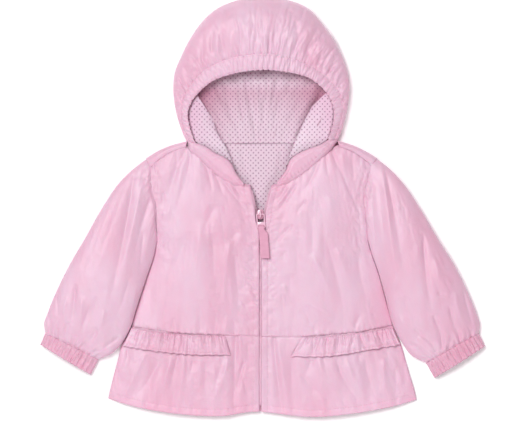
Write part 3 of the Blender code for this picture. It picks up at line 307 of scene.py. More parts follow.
SLEEVE_RIGHT = folds(
    (128.8, 16.2, 131.2, -8.8, 4, -2.4, 0), (141.2, 38.8, 157.5, -117.5, 6, -1.7, -7.4),
    (150, 46.2, 167.5, -101.2, 6, 2, 1.4), (153.8, 43.8, 175, -77.5, 5, -1.3, 2.5),
    (170, 36.2, 207.5, -66.2, 11, 1, 1.6), (187.5, 11.2, 227.5, -66.2, 10, -0.9, 1.6),
    (202.5, -38.8, 212.5, -130, 5, -2.3, -2.7), (217.5, -66.2, 227.5, -113.8, 8, 1.4, -1),
    (220, -105.6, 237.5, -110, 3.2, -1.3, 0.9), (252.5, -103.8, 265, -148.8, 4, -2.1, -1.5),
    (242.5, -108.8, 252.5, -146.2, 5, 1.3, -1.6), (215, -136.2, 227.5, -172.5, 3.6, -1.9, 1),
    (235, -125, 243.8, -158.8, 3.6, -1.7, -0.7), (192.5, -152.5, 220, -181.2, 4, -1.7, 1.4),
    (185, -168.8, 212.5, -185, 3.4, -1.8, 0.6), (197.5, -161.2, 217.5, -176.2, 3, 1.1, 1),
    (270, -136.2, 268.8, -156.2, 3, -1.3, 0.6), (142.5, -66.2, 162.5, -136.2, 7, -1.1, -1.2),
    (157.5, -113.8, 177.5, -158.8, 7, 0.9, -1.1), (177.5, -113.8, 187.5, -156.2, 7, -0.9, -0.3),
    (172.5, -136.2, 192.5, -168.8, 5, 1, -0.7), (224.4, -175, 222.5, -153.8, 2.2, -1.5, -0.4),
    (228.8, -175, 227.5, -158.8, 2.2, 1.2, -0.7), (233.8, -173.8, 236.2, -158.8, 2.2, -1.4, 0),
    (240, -170, 237.5, -156.2, 2.2, 1.1, 0.1), (246.2, -165, 242.5, -148.8, 2.2, -1.3, -0.8),
    (253.8, -161.2, 250, -146.2, 2.2, 1.1, -0.6), (261.2, -160, 255, -143.8, 2.2, -1.4, -0.9),
    (217.5, -178.8, 210, -166.2, 2.2, -1.2, -0),
)
CROWN_FOLDS = folds(
    (-7, 193.8, -7, 255, 3.2, -1.8, 0.3), (-27.5, 193.8, -28, 233.8, 2.8, -1.7, -1.5),
    (-45, 192.5, -50.5, 226.2, 3, -1.7, 2.7), (-62.5, 196.2, -58.8, 231.2, 3, -1.5, 1.3),
    (-73.8, 186.2, -72.7, 221.2, 3.4, -1.4, 0.6), (-82.5, 185, -95, 201.2, 3.4, -1.4, -0.4),
    (12.5, 193.8, 23.8, 233.8, 4, -2, 3.4), (35.8, 190, 40.5, 237.5, 3.4, -2.2, -6.6),
    (28.8, 201.2, 35, 226.2, 4, 1.2, 0.7), (31.2, 247.5, 42.5, 242.5, 3, -0.9, 0.8),
    (56.2, 193.8, 82.5, 217.5, 5, -2, 3.6), (65, 186.2, 86.2, 210, 4, 1.4, 1.7),
    (71.2, 181.2, 87.5, 196.2, 3.4, -1.8, 1.3), (83.8, 171.2, 100, 188.8, 3.6, -1.8, 1.3),
    (-17.5, 196.2, -17.5, 226.2, 4, 1.2, 0), (2.5, 196.2, 3.8, 236.2, 4.4, 1.4, 0),
    (-37.5, 193.8, -40, 223.8, 3.6, 1.2, 0), (-53.8, 193.8, -56.2, 218.8, 3, 1.1, 1.2),
    (47.5, 196.2, 57.5, 231.2, 5, 1.5, 0), (-42.5, 236.2, -27.5, 248.8, 4, -0.8, 2.7),
    (-82.5, 211.2, -62.5, 233.8, 7, 0.9, 1.8), (-98.8, 153.8, -107.5, 178.8, 3.6, -1.5, 0.6),
    (-91.2, 166.2, -102.5, 188.8, 3.6, -1.5, 0.6), (-102.5, 140, -112.5, 156.2, 3.2, -1.3, -0.4),
    (-85, 173.8, -95, 186.2, 2.6, 1.2, 0), (-105, 126.2, -111.2, 138.8, 3, -1.1, 0.6),
    (-97.5, 146.2, -105, 163.8, 2.6, 1.1, -0), (96.2, 151.2, 110, 166.2, 3.4, -1.8, 1.3),
    (101.2, 136.2, 111.2, 146.2, 3, -1.5, 0.9), (92.5, 161.2, 106.2, 178.8, 3, 1.3, 1.2),
    (102.5, 121.2, 111.2, 128.8, 2.8, -1.2, 0.5), (98.8, 143.8, 110, 156.2, 2.4, 1.1, 0.4),
    (60, 223.8, 75, 233.8, 6, 0.8, 1),
)
RUFFLE_LEFT = folds(
    (-155, -152.5, -160, -168.8, 2.4, -2.4, -0.2), (-146.9, -153.8, -148.8, -165, 2.2, -1.3, 0.2),
    (-132.5, -150.6, -140, -168.8, 2.4, -1.9, -0.3), (-121.5, -152.5, -122.5, -180, 2.2, -2.4, 0.2),
    (-115.8, -153.8, -119.4, -168.8, 2.2, -1.4, 0.1), (-106.2, -155, -108.1, -171.2, 2, -1.3, -0.4),
    (-98, -155, -99.8, -180, 2.2, -2.4, 0.1), (-90, -156.2, -90.6, -168.8, 2, -1.1, 0.3),
    (-82.5, -156.2, -86.2, -166.2, 2.2, -1.6, 0.1), (-70.5, -157.5, -68.2, -170, 2.2, -1.9, -0.2),
    (-59.8, -157.5, -55.7, -175, 2.2, -2.2, 0), (-50, -158.8, -47.5, -173.8, 2.4, -0.9, -0),
    (-127.5, -157.5, -131.2, -178.8, 3.4, 1.2, 0.3), (-110, -158.8, -112.5, -178.8, 3.4, 1.2, 0),
    (-77.5, -160, -78.8, -178.8, 3.6, 1.2, 0.1), (-142.5, -156.2, -145, -176.2, 3.2, 1, -0),
    (-64.2, -161.2, -62.5, -178.8, 3, 1.1, -0.4),
)
RUFFLE_RIGHT = folds(
    (53.8, -159.4, 41.2, -177.5, 2.4, -2.4, -0.1), (58.8, -160, 57, -168.8, 2, -1.3, -0),
    (65.8, -160, 62.5, -178.8, 2, -1.1, -0.4), (71.2, -159.5, 64.5, -183.8, 2.2, -2.4, 0),
    (82, -159.4, 78.8, -177.5, 2.2, -1.9, -0.1), (96.7, -158.8, 94, -183.8, 2.2, -2.5, 0),
    (105, -158.3, 101.2, -170, 2, -1.5, 0.1), (115.8, -157.5, 110, -175, 2.2, -2, 0.1),
    (122.5, -156.9, 131.7, -180, 2.4, -2.4, -0), (134.2, -156.2, 135.5, -167.5, 2, -1.6, 0.2),
    (144.5, -155, 149.2, -166.2, 2.4, -2, 0.1), (150.8, -155, 154.2, -176.2, 2.2, -2.1, 0.1),
    (156.7, -153.1, 158.8, -163.8, 2, -1.4, -0.3), (89.2, -161.2, 87.5, -182.5, 3.4, 1.3, 0.1),
    (108.8, -161.2, 105.8, -181.2, 3.2, 1.1, 0), (118.3, -161.2, 120, -181.2, 3.2, 1.2, 0),
    (75.8, -161.2, 73, -182.5, 3, 1.2, 0), (140, -161.2, 143, -177.5, 3.2, 1.1, -0.2),
)
CASING_FOLDS = folds(
    (8.4, 195, 9, 182.5, 2.2, -1.6, -0.2), (16, 193.8, 18.1, 172.5, 2, -1.4, -0.8),
    (20.8, 191.2, 20, 178.8, 1.6, -1.2, 0.1), (35.8, 190, 33.3, 168.8, 2.2, -2.2, 0.4),
    (51.2, 185, 48, 171.2, 1.8, -1.5, -0.3), (42.5, 186.2, 40.8, 175, 1.6, -1, -0),
    (-38.8, 191.2, -36.2, 178.8, 2.2, -0.9, 0), (-21.2, 193.8, -21.8, 178.8, 2.4, -0.9, 0),
    (61.2, 178.8, 55, 165, 1.8, -1.5, -0.1), (70, 173.8, 62.5, 161.2, 1.6, -1.4, -0),
    (78.8, 166.2, 70, 153.8, 1.6, -1.5, 0.1), (85, 158.8, 75, 147.5, 1.6, -1.4, -0.4),
    (92.5, 148.8, 81.2, 140, 1.6, -1.4, -0.4), (97.5, 138.8, 86.2, 132.5, 1.6, -1.3, -0.4),
    (100, 127.5, 87.5, 123.8, 1.6, -1.3, -0.5), (-53.8, 186.2, -48.8, 173.8, 2.2, -0.8, 0.1),
    (-70, 177.5, -62.5, 166.2, 2.2, -0.8, 0.4), (-83.8, 166.2, -75, 156.2, 2, -0.9, -0.5),
    (-93.8, 151.2, -83.8, 143.8, 2, -0.9, 0), (-98.8, 135, -88.8, 130, 2, -0.9, 0),
)
LINING_FOLDS = folds(
    (-57.5, 101.2, -30, 41.2, 3, -2.4, 1), (-62.5, 91.2, -35, 36.2, 4, 1.6, 0),
    (70.8, 135, 30, 48.8, 4.5, -2.6, -3.3), (80, 123.8, 40, 48.8, 5, 1.6, -0.1),
    (47.5, 156.2, 30, 113.8, 6, -1.2, -0.4), (-45, 156.2, -32.5, 116.2, 7, -1, -0),
    (0, 166.2, -1.2, 111.2, 9, 0.9, 0.6), (-20, 161.2, -15, 121.2, 6, -0.8, -0),
    (20, 163.8, 12.5, 116.2, 6, -0.9, -0), (-28.8, 81.9, 25, 81.9, 2.4, -0.9, 0.6),
    (-7.5, 85, 7.5, 82.5, 2, 0.6, 0), (25, 143.8, 10, 93.8, 5, -0.8, 0),
    (-22.5, 111.2, -7.5, 73.8, 6, 0.7, 0), (-25, 73.8, -12.5, 16.2, 5, -0.8, -1),
    (23.8, 71.2, 12.5, 16.2, 5, -0.8, 0.6),
)
FRONT_FOLDS = {"left": FRONT_LEFT, "right": FRONT_RIGHT}
PEPLUM_FOLDS = {"left": PEPLUM_LEFT, "right": PEPLUM_RIGHT}
RUFFLE_FOLDS = {"left": RUFFLE_LEFT, "right": RUFFLE_RIGHT}
SLEEVE_FOLDS = {"left": SLEEVE_LEFT, "right": SLEEVE_RIGHT}

# ---------------------------------------------------------------- lines and grids

def eased(key, value, at):
    """Value at any key on a smooth curve through (key, value) rows."""
    key = np.asarray(key, float)
    value = np.asarray(value, float)
    slope = np.gradient(value, key)
    at = np.clip(at, key[0], key[-1])
    cell = np.clip(np.searchsorted(key, at, side="right") - 1, 0, len(key) - 2)
    span = key[cell + 1] - key[cell]
    t = (at - key[cell]) / span
    return ((2 * t**3 - 3 * t**2 + 1) * value[cell] + (t**3 - 2 * t**2 + t) * span * slope[cell]
            + (3 * t**2 - 2 * t**3) * value[cell + 1] + (t**3 - t**2) * span * slope[cell + 1])


def column(rows, name, at):
    """A named column of a table, smooth between its rows."""
    return eased([row[0] for row in rows], [getattr(row, name) for row in rows], at)


def line(points, count):
    """Evenly spaced points on a smooth line through a few points."""
    points = np.array(points, float)
    steps = np.linalg.norm(np.diff(points, axis=0), axis=1)
    key = np.concatenate([[0.0], np.cumsum(steps)])
    fine = np.linspace(0.0, key[-1], 30 * len(points))
    path = np.stack([eased(key, points[:, axis], fine) for axis in (0, 1)], axis=1)
    walked = np.concatenate([[0.0], np.cumsum(np.linalg.norm(np.diff(path, axis=0), axis=1))])
    at = np.linspace(0.0, walked[-1], count)
    return np.stack([np.interp(at, walked, path[:, axis]) for axis in (0, 1)], axis=1)


def chain(*lines):
    """One list of points from several that meet end to end."""
    joined = list(lines[0])
    for points in lines[1:]:
        joined.extend(points[1:])
    return joined


def patch(low, high, start, end):
    """Plan of a four-sided piece: low and high run across it, start and end run up its sides."""
    low, high, start, end = (np.asarray(edge, float) for edge in (low, high, start, end))
    across = np.linspace(0.0, 1.0, len(low))[None, :, None]
    up = np.linspace(0.0, 1.0, len(start))[:, None, None]
    ruled = (1 - up) * low[None] + up * high[None] + (1 - across) * start[:, None]
    ruled = ruled + across * end[:, None]
    corners = ((1 - up) * ((1 - across) * low[0] + across * low[-1])
               + up * ((1 - across) * high[0] + across * high[-1]))
    return ruled - corners


def with_height(plan, height):
    return np.concatenate([plan, height[..., None]], axis=-1)


def level(plan, z=0.0):
    """A plan at one height."""
    return with_height(plan, np.full(plan.shape[:2], z))


def shares(across, up):
    """How far across and how far up each point of a grid is, from 0 to 1."""
    return np.linspace(0, 1, across)[None, :], np.linspace(0, 1, up)[:, None]


def inside(points, inset):
    """A line moved to its right by a distance, square to itself."""
    run = np.gradient(points, axis=0)
    run = run / np.linalg.norm(run, axis=1)[:, None]
    return points + np.stack([run[:, 1], -run[:, 0]], axis=1) * inset


def arch(across, side, middle, swell):
    """Height of upper cloth: steep at its side seam, nearly level at the zip."""
    rise = np.sqrt(np.clip(1 - (1 - across)**2.6, 0, 1))
    return side + (middle - side) * rise + swell * 4 * across * (1 - across) * (1 - across**6)


def walk(grid, axis):
    """How far along the cloth each point is from the first row (axis 0) or column (axis 1)."""
    steps = np.linalg.norm(np.diff(grid, axis=axis), axis=-1)
    total = np.cumsum(steps, axis=axis)
    start = np.zeros_like(np.take(total, [0], axis=axis))
    return np.concatenate([start, total], axis=axis)


def from_edge(grid, edge):
    """How far along the cloth each point is from one edge of its grid."""
    far = walk(grid, 0 if edge in ("low", "high") else 1)
    if edge == "high":
        return far[-1:] - far
    if edge == "end":
        return far[:, -1:] - far
    return far


# ---------------------------------------------------------------- relief of the cloth

def noise(x, y, seed):
    """Smooth uneven values from -1 to 1, one bump to a unit, the same at each run."""
    table = np.random.default_rng(seed).uniform(-1, 1, (97, 97))
    i, j = np.floor(x).astype(int), np.floor(y).astype(int)
    u, v = x - i, y - j
    u, v = u * u * (3 - 2 * u), v * v * (3 - 2 * v)
    low = table[i % 97, j % 97] * (1 - u) + table[(i + 1) % 97, j % 97] * u
    high = table[i % 97, (j + 1) % 97] * (1 - u) + table[(i + 1) % 97, (j + 1) % 97] * u
    return low * (1 - v) + high * v


def uneven(at, pitch, seed):
    """A ripple of roughly one wave to a pitch, each wave of its own width and height."""
    shifted = at / pitch + 0.45 * noise(at / pitch * 0.45, at * 0, seed)
    tall = 0.7 + 0.5 * noise(at / pitch * 0.6, at * 0 + 9.5, seed)
    return np.cos(2 * math.pi * shifted) * tall


def crinkle(plan, seed, size=14.0, rise=0.3, lean=0.0, stretch=1.0):
    """The slight unevenness of light cloth, drawn out along one direction."""
    x = plan[..., 0] * math.cos(lean) + plan[..., 1] * math.sin(lean)
    y = plan[..., 1] * math.cos(lean) - plan[..., 0] * math.sin(lean)
    x, y = x / size / stretch, y / size
    return rise * (noise(x, y, seed) + 0.5 * noise(2.1 * x, 2.3 * y, seed + 1)
                   + 0.25 * noise(4.3 * x, 4.7 * y, seed + 2))


def crumple(plan, apex, seed, pitch=11.0, length=60.0, rise=0.5):
    """Sharp little creases between flatter facets, which fan out from a point."""
    away = plan - np.asarray(apex, float)
    reach = np.linalg.norm(away, axis=-1)
    round_it = np.arctan2(away[..., 0], -away[..., 1]) * 200.0
    broad = noise(round_it / pitch, reach / length, seed)
    small = noise(round_it / pitch * 2.1, reach / length * 2.3 + 5, seed + 1)
    tiny = noise(plan[..., 0] / 5.5, plan[..., 1] / 7.0, seed + 2)
    strong = 0.55 + 0.45 * noise(plan[..., 0] / 46, plan[..., 1] / 52, seed + 3)
    return 1.35 * rise * strong * (np.abs(broad) - 0.6 * np.abs(small) + 0.28 * np.abs(tiny))


def fold_height(plan, folds):
    """Sum of soft ridges and troughs at the points of a plan."""
    total = np.zeros(plan.shape[:-1])
    for fold in folds:
        run = np.array((fold.x1 - fold.x0, fold.y1 - fold.y0)) * 1.12
        start = np.array((fold.x1, fold.y1)) - run
        length = np.linalg.norm(run)
        run = run / length
        offset = plan - start
        along = (offset @ run) / length
        held = np.clip(along, 0, 1)
        aside = offset @ np.array((-run[1], run[0])) - fold.bend * 4 * held * (1 - held)
        past = (along - held) * length
        away = np.sqrt(aside**2 + past**2) / (fold.width * (0.6 + 0.5 * held))
        fade = np.clip(5 * held, 0, 1)**0.8 * (1 - held)**0.7
        total += FOLD_DEPTH * fold.rise * fade * np.exp(-away**1.35)
    return total


def near_line(plan, points):
    """Distance from a line on the plan, signed, and how far along the line the nearest point is."""
    points = np.asarray(points, float)
    best = np.full(plan.shape[:-1], 1e9)
    signed = np.zeros(plan.shape[:-1])
    place = np.zeros(plan.shape[:-1])
    walked = 0.0
    for start, end in zip(points[:-1], points[1:]):
        run = end - start
        length = np.linalg.norm(run)
        run = run / length
        offset = plan - start
        along = np.clip(offset @ run, 0, length)
        gap = offset - along[..., None] * run
        away = np.linalg.norm(gap, axis=-1)
        nearer = away < best
        side = np.sign(offset @ np.array((-run[1], run[0])))
        best = np.where(nearer, away, best)
        signed = np.where(nearer, away * side, signed)
        place = np.where(nearer, walked + along, place)
        walked += length
    return signed, place


def sewn_relief(away, along, seed, depth=0.45, pucker=0.35, reach=5.0, pitch=6.0):
    """A groove where the thread pulls the cloth in, with small puckers across it."""
    groove = -depth * np.exp(-(away / 0.9)**2)
    wave = uneven(along + 0.3 * np.abs(away), pitch, seed)
    return groove + pucker * wave * np.exp(-(away / reach)**2)


def roll_down(away, depth, radius):
    """Drop of a turned edge towards its seam."""
    return -depth * (1 - np.clip(away / radius, 0, 1))**2


def tuck(grid, edge, reach, depth):
    """The grid with its seam allowance: a strip that goes on under the piece sewn to it."""
    turned = {"low": grid, "high": grid[::-1], "start": np.swapaxes(grid, 0, 1),
              "end": np.swapaxes(grid, 0, 1)[::-1]}[edge]
    away = turned[0, :, :2] - turned[1, :, :2]
    away = away / np.maximum(np.linalg.norm(away, axis=1), 1e-6)[:, None]
    strips = []
    for share in (1.0, 0.3):
        z = turned[0, :, 2] - depth * share**0.5 * np.clip(turned[0, :, 2] / 5, 0, 1)
        strips.append(with_height(turned[0, :, :2] + away * reach * share, z))
    turned = np.concatenate([np.array(strips), turned])
    return {"low": turned, "high": turned[::-1], "start": np.swapaxes(turned, 0, 1),
            "end": np.swapaxes(turned[::-1], 0, 1)}[edge]


# ---------------------------------------------------------------- surfaces of the pieces

def zip_line(side, inset, low, high, count):
    """Points of the fronts' centre edge from y = low to y = high, moved towards the zip."""
    rows = np.array(side.zip_edge, float)
    y = np.linspace(low, high, count)
    away = np.interp(y, rows[:, 1], rows[:, 0]) + ZIP_SLOT - inset
    return np.stack([ZIP_X + side.sign * away, y], axis=1)


def front_plan(side, across, up):
    side_edge = line(chain(side.side_seam[::-1], side.armhole[::-1][:-1]), up)
    top_edge = line(chain(side.shoulder_seam, side.neckline), across)
    low_edge = line(side.waist, across)
    centre = zip_line(side, 0.0, low_edge[-1][1], top_edge[-1][1], up)
    low_edge = low_edge + (centre[0] - low_edge[-1]) * np.linspace(0, 1, across)[:, None]**4
    top_edge = top_edge + (centre[-1] - top_edge[-1]) * np.linspace(0, 1, across)[:, None]**4
    side_edge = side_edge + (top_edge[0] - side_edge[-1]) * np.linspace(0, 1, up)[:, None]**6
    return patch(low_edge, top_edge, side_edge, centre)


def front_surface(side, across=112, up=160):
    """Outer face of one front, from the side to the zip and from the waist to the neck."""
    plan = front_plan(side, across, up)
    u, v = shares(across, up)
    flat = level(plan)
    height = arch(u, column(TORSO_ROWS, "side", v), column(TORSO_ROWS, "zip", v),
                  column(TORSO_ROWS, "swell", v))
    rim = np.minimum(1, from_edge(flat, "start") / 8)
    height = height + (0.3 + 0.7 * rim) * fold_height(plan, FRONT_FOLDS[side.name])
    height += crumple(plan, (side.sign * 70, 190), 11 if side.sign < 0 else 21, 13, 75, 1.3)
    to_zip = from_edge(flat, "end")
    height += sewn_relief(to_zip - PLACKET, plan[..., 1], 31 + side.sign, 0.6, 0.2, 6, 9)
    near_zip = np.exp(-(np.maximum(0, to_zip - 6) / 16)**2)
    height += crumple(plan, (side.sign * 160, 40), 33 + side.sign, 6, 14, 1.3) * near_zip
    height += 0.35 * np.clip(1 - to_zip / PLACKET, 0, 1)**0.3 * (to_zip < PLACKET)
    armhole = line(side.armhole, 24)
    away, along = near_line(plan, armhole)
    height += sewn_relief(np.abs(away) - ARMHOLE_STITCH, along, 41 + side.sign, 0.35, 0.3, 4, 11)
    near_armhole = np.exp(-(away / 22)**2)
    height += crumple(plan, (side.sign * 150, 120), 43 + side.sign, 7, 16, 1.6) * near_armhole
    height += roll_down(np.abs(away), 0.8, 2.2)
    height += roll_down(to_zip, 1.6, 1.6)
    to_waist = from_edge(flat, "low")
    height += roll_down(to_waist, 0.5, 1.4)
    height += 0.4 * uneven(plan[..., 0], 7, 51 + side.sign) * np.exp(-(to_waist / 8)**2)
    to_top = from_edge(flat, "high")
    height += (roll_down(to_top, 0.7, 1.6)
               + 0.5 * uneven(plan[..., 0], 9, 53) * np.exp(-(to_top / 9)**2))
    return with_height(plan, height)


def peplum_plan(side, across, up):
    waist = line(side.waist, across) - np.array((0.0, 0.1))
    hem = line(side.hem + ((ZIP_X + side.sign * ZIP_SLOT, HEM_CENTRE_Y),), across)
    side_edge = line(side.peplum_side[::-1], up)
    centre = zip_line(side, 0.0, hem[-1][1], waist[-1][1], up)
    hem = hem + (centre[0] - hem[-1]) * np.linspace(0, 1, across)[:, None]**4
    waist = waist + (centre[-1] - waist[-1]) * np.linspace(0, 1, across)[:, None]**4
    side_edge[-1] = waist[0]
    return patch(hem, waist, side_edge, centre)


def peplum_surface(side, across=140, up=72):
    """Outer face of one half of the gathered skirt, from the side to the zip."""
    plan = peplum_plan(side, across, up)
    u, v = shares(across, up)
    flat = level(plan)
    height = arch(u, column(PEPLUM_ROWS, "side", v), column(PEPLUM_ROWS, "zip", v),
                  column(PEPLUM_ROWS, "swell", v))
    rim = np.minimum(1, from_edge(flat, "start") / 10)
    to_hem = from_edge(flat, "low")
    height = height + rim * fold_height(plan, PEPLUM_FOLDS[side.name])
    height += 0.45 * rim * uneven(u * 165, 15, 61 + side.sign) * (1 - 0.5 * v)
    height += crumple(plan, (side.sign * 40, 150), 63 + side.sign, 11, 40, 1.3)
    to_zip = from_edge(flat, "end")
    height += sewn_relief(to_zip - PLACKET, plan[..., 1], 65 + side.sign, 0.6, 0.2, 6, 9)
    height += sewn_relief(to_hem - HEM, plan[..., 0], 67 + side.sign, 0.4, 0.2, 5, 9)
    height += roll_down(to_zip, 1.6, 1.6) + roll_down(to_hem, 0.8, 1.4)
    height += roll_down(from_edge(flat, "high"), 0.5, 1.4)
    return with_height(plan, np.maximum(height, WALL + 0.7))


def ruffle_surface(side, under, across=210, up=28):
    """Outer face of the short ruffle that hangs from the waist seam over the skirt."""
    top = line(side.ruffle_top, across)
    hem = line(side.ruffle_hem, across)
    u, v = shares(across, up)
    plan = (1 - v[..., None]) * hem[None] + v[..., None] * top[None]
    gathers = fold_height(plan, RUFFLE_FOLDS[side.name])
    ripple = uneven(u * 128, 9.5, 71 + side.sign)
    fine = uneven(u * 128, 4.2, 75 + side.sign)
    plan[..., 1] -= (0.35 * gathers + 0.5 * ripple) * (1 - v)**2
    height = RUFFLE_LIFT + RUFFLE_WAVE + gathers + 0.9 * ripple * (1 - 0.4 * v)
    height += 0.7 * fine * np.exp(-((1 - v) / 0.3)**2)
    height += crumple(plan, (side.sign * 90, 0), 77 + side.sign, 6, 9, 1.2)
    height += 1.1 * np.sin(math.pi * np.clip(v, 0, 1)**0.8) - 0.3
    flat = level(plan)
    height += (roll_down(from_edge(flat, "high"), 1.6, 3.0)
               + roll_down(from_edge(flat, "low"), 0.6, 1.2))
    height += -0.25 * np.exp(-((from_edge(flat, "low") - 4.0) / 0.8)**2)
    free = 1 - u
    height = 1.0 + (height - 1.0) * np.minimum(1, 0.25 + free / 0.07)
    floor = drop(under, plan)
    return with_height(plan, floor + np.maximum(height, 1.0))


def ring(outer, inner, height, turn):
    """Sections of a flattened tube: flat below, arched above, from its outer to its inner edge."""
    across = 0.5 - 0.5 * np.cos(turn)
    above = np.sin(turn) >= -1e-9
    lift = np.abs(np.sin(turn))
    edge = 0.3 * height[:, None]
    top = edge + (height[:, None] - edge) * lift**0.75
    low = edge * np.clip(1 - lift / 0.45, 0, 1)**1.6
    plan = outer[:, None] + (inner - outer)[:, None] * across[None, :, None]
    return with_height(plan, np.where(above, top, low)), across, lift, above


def turns(upper, lower):
    """Angles round a tube, closer together on the side that shows."""
    over = np.linspace(0, math.pi, upper, endpoint=False)
    return np.concatenate([over, math.pi + np.linspace(0, math.pi, lower, endpoint=False)])


def sleeve_surface(side, upper=108, lower=36, along=150):
    """Outer face of one sleeve, a flattened tube from the armhole to the cuff seam."""
    outer = line(side.sleeve_outer, along)
    inner = line(side.sleeve_inner, along)
    armhole = line(side.armhole, 40)
    seam = line(side.cuff_seam, 40)
    v = np.linspace(0, 1, along)
    turn = turns(upper, lower)
    tube, across, lift, above = ring(outer, inner, column(SLEEVE_ROWS, "height", v), turn)
    spread = np.linspace(0, 1, 40)
    start = np.stack([np.interp(across, spread, armhole[:, axis]) for axis in (0, 1)], axis=1)
    end = np.stack([np.interp(across, spread, seam[:, axis]) for axis in (0, 1)], axis=1)
    first = outer[0] + (inner[0] - outer[0]) * across[:, None]
    last = outer[-1] + (inner[-1] - outer[-1]) * across[:, None]
    bend = (start - first)[None] * (1 - v)[:, None, None] + (end - last)[None] * v[:, None, None]
    tube[..., :2] += bend
    top = np.where(above, lift, 0.0)[None, :]
    plan = tube[..., :2]
    relief = fold_height(plan, SLEEVE_FOLDS[side.name])
    relief += crumple(plan, (side.sign * 120, 190), 81 + side.sign, 12, 70, 1.5)
    to_cuff = (1 - v)[:, None] * SLEEVE_LENGTH
    relief += 1.3 * uneven(across[None, :] * 74, 7.5, 83 + side.sign) * np.exp(-(to_cuff / 16)**2)
    from_body = v[:, None] * SLEEVE_LENGTH
    relief += 0.5 * uneven(across[None, :] * 100, 9, 85 + side.sign) * np.exp(-(from_body / 12)**2)
    relief += roll_down(from_body, 1.3, 3.0) + roll_down(to_cuff, 1.4, 5.0)
    tube[..., 2] += top**0.6 * relief
    hidden = np.where(above, 0.0, lift)[None, :]
    tube[..., 2] += hidden * np.maximum(0, crinkle(plan, 87, 26, 0.5, 1.0, 2.0))
    tube[..., 0] += side.sign * (0.2 - 0.7 * (1 - v)**8)[:, None]
    return tube


def cuff_surface(side, upper=150, lower=90, along=18):
    """Outer face of one gathered cuff."""
    seam = line(side.cuff_seam, 40)
    edge = line(side.cuff_edge, 40)
    v = np.linspace(0, 1, along)[:, None]
    run = (edge[20] - seam[20]) / np.linalg.norm(edge[20] - seam[20])
    outer = (1 - v) * seam[0] + v * edge[0] + run * SEAM_EASE * 0.5
    inner = (1 - v) * seam[-1] + v * edge[-1] + run * SEAM_EASE * 0.5
    turn = turns(upper, lower)
    tube, across, lift, above = ring(outer, inner, np.full(along, CUFF_HEIGHT), turn)
    around = np.where(above, across, 2 - across)[None, :] * 76
    wave = uneven(around + 1.5 * v, 6.2, 91 + side.sign)
    sharp = np.sign(wave) * np.abs(wave)**0.75
    small = uneven(around - 1.0 * v, 2.9, 93 + side.sign)
    swell = 1 - (2 * v - 1)**4
    rough = crumple(tube[..., :2], (side.sign * 200, -60), 95 + side.sign, 4, 9, 1.6)
    relief = (0.85 * sharp + 0.3 * small) * (0.55 + 0.45 * swell) + rough
    tube[..., 2] += np.where(above, lift, 0.0)[None, :]**0.5 * relief
    bow = 4 * across * (1 - across)
    push = (-1.5 + 3 * v[..., None]) * 0.4 * bow[None, :, None]
    tube[..., :2] += run * (push + 0.45 * (wave * v**3)[..., None])
    turned = roll_down(v * CUFF_LENGTH, 0.7, 2.0) + roll_down((1 - v) * CUFF_LENGTH, 1.2, 2.0)
    tube[..., 2] += np.where(above, 1, 0)[None, :] * turned
    return tube


def hood_lines(count):
    """Outline, casing seam and face edge of the hood, and how far along the arc each point is."""
    outline = line(HOOD_OUTLINE, count)
    seam = line(HOOD_SEAM, count)
    rim = line(HOOD_RIM, count)
    return outline, seam, rim, np.linspace(0, 1, count)


def crown_surface(columns=330, rows=44):
    """Outer face of the crown: from the casing seam over the top, then down and round to z = 0."""
    outline, seam, _, along = hood_lines(columns)
    reach = np.linalg.norm(outline - seam, axis=1)
    outward = (outline - seam) / reach[:, None]
    seam_z = column(HOOD_ROWS, "seam", along)
    swell = column(HOOD_ROWS, "swell", along)
    roll = np.minimum(ROLL, 0.9 * reach)
    ripple = uneven(along * HOOD_ARC, 9.0, 101)
    fine = uneven(along * HOOD_ARC, 4.5, 102)
    loose = np.minimum(1, reach / 30)
    grid = []
    for step in np.linspace(0, 1, rows):
        turn = step * math.pi / 2
        away = reach * math.sin(turn)
        z = roll + (seam_z - roll) * math.cos(turn)**0.8 + swell * math.sin(2 * turn)
        plan = seam + outward * away[:, None]
        full = math.cos(turn)**0.7 * min(1.0, 0.35 + 5 * step)
        relief = fold_height(plan, CROWN_FOLDS) * 1.15 * full
        relief += 0.75 * ripple * loose * np.exp(-(away / 16)**2)
        relief += 0.8 * fine * loose * np.exp(-(away / 8)**2)
        relief += crumple(plan, (0, 90), 103, 8, 28, 2.1) * math.cos(turn)**0.5
        relief += roll_down(away, 0.6, 1.6)
        grid.append(with_height(plan, z + relief))
    for step in np.linspace(0.15, 1.0, 7):
        turn = step * math.pi / 2
        away = reach - roll * (1 - math.cos(turn))
        z = roll * (1 - math.sin(turn))
        grid.append(with_height(seam + outward * away[:, None], z))
    return np.array(grid)


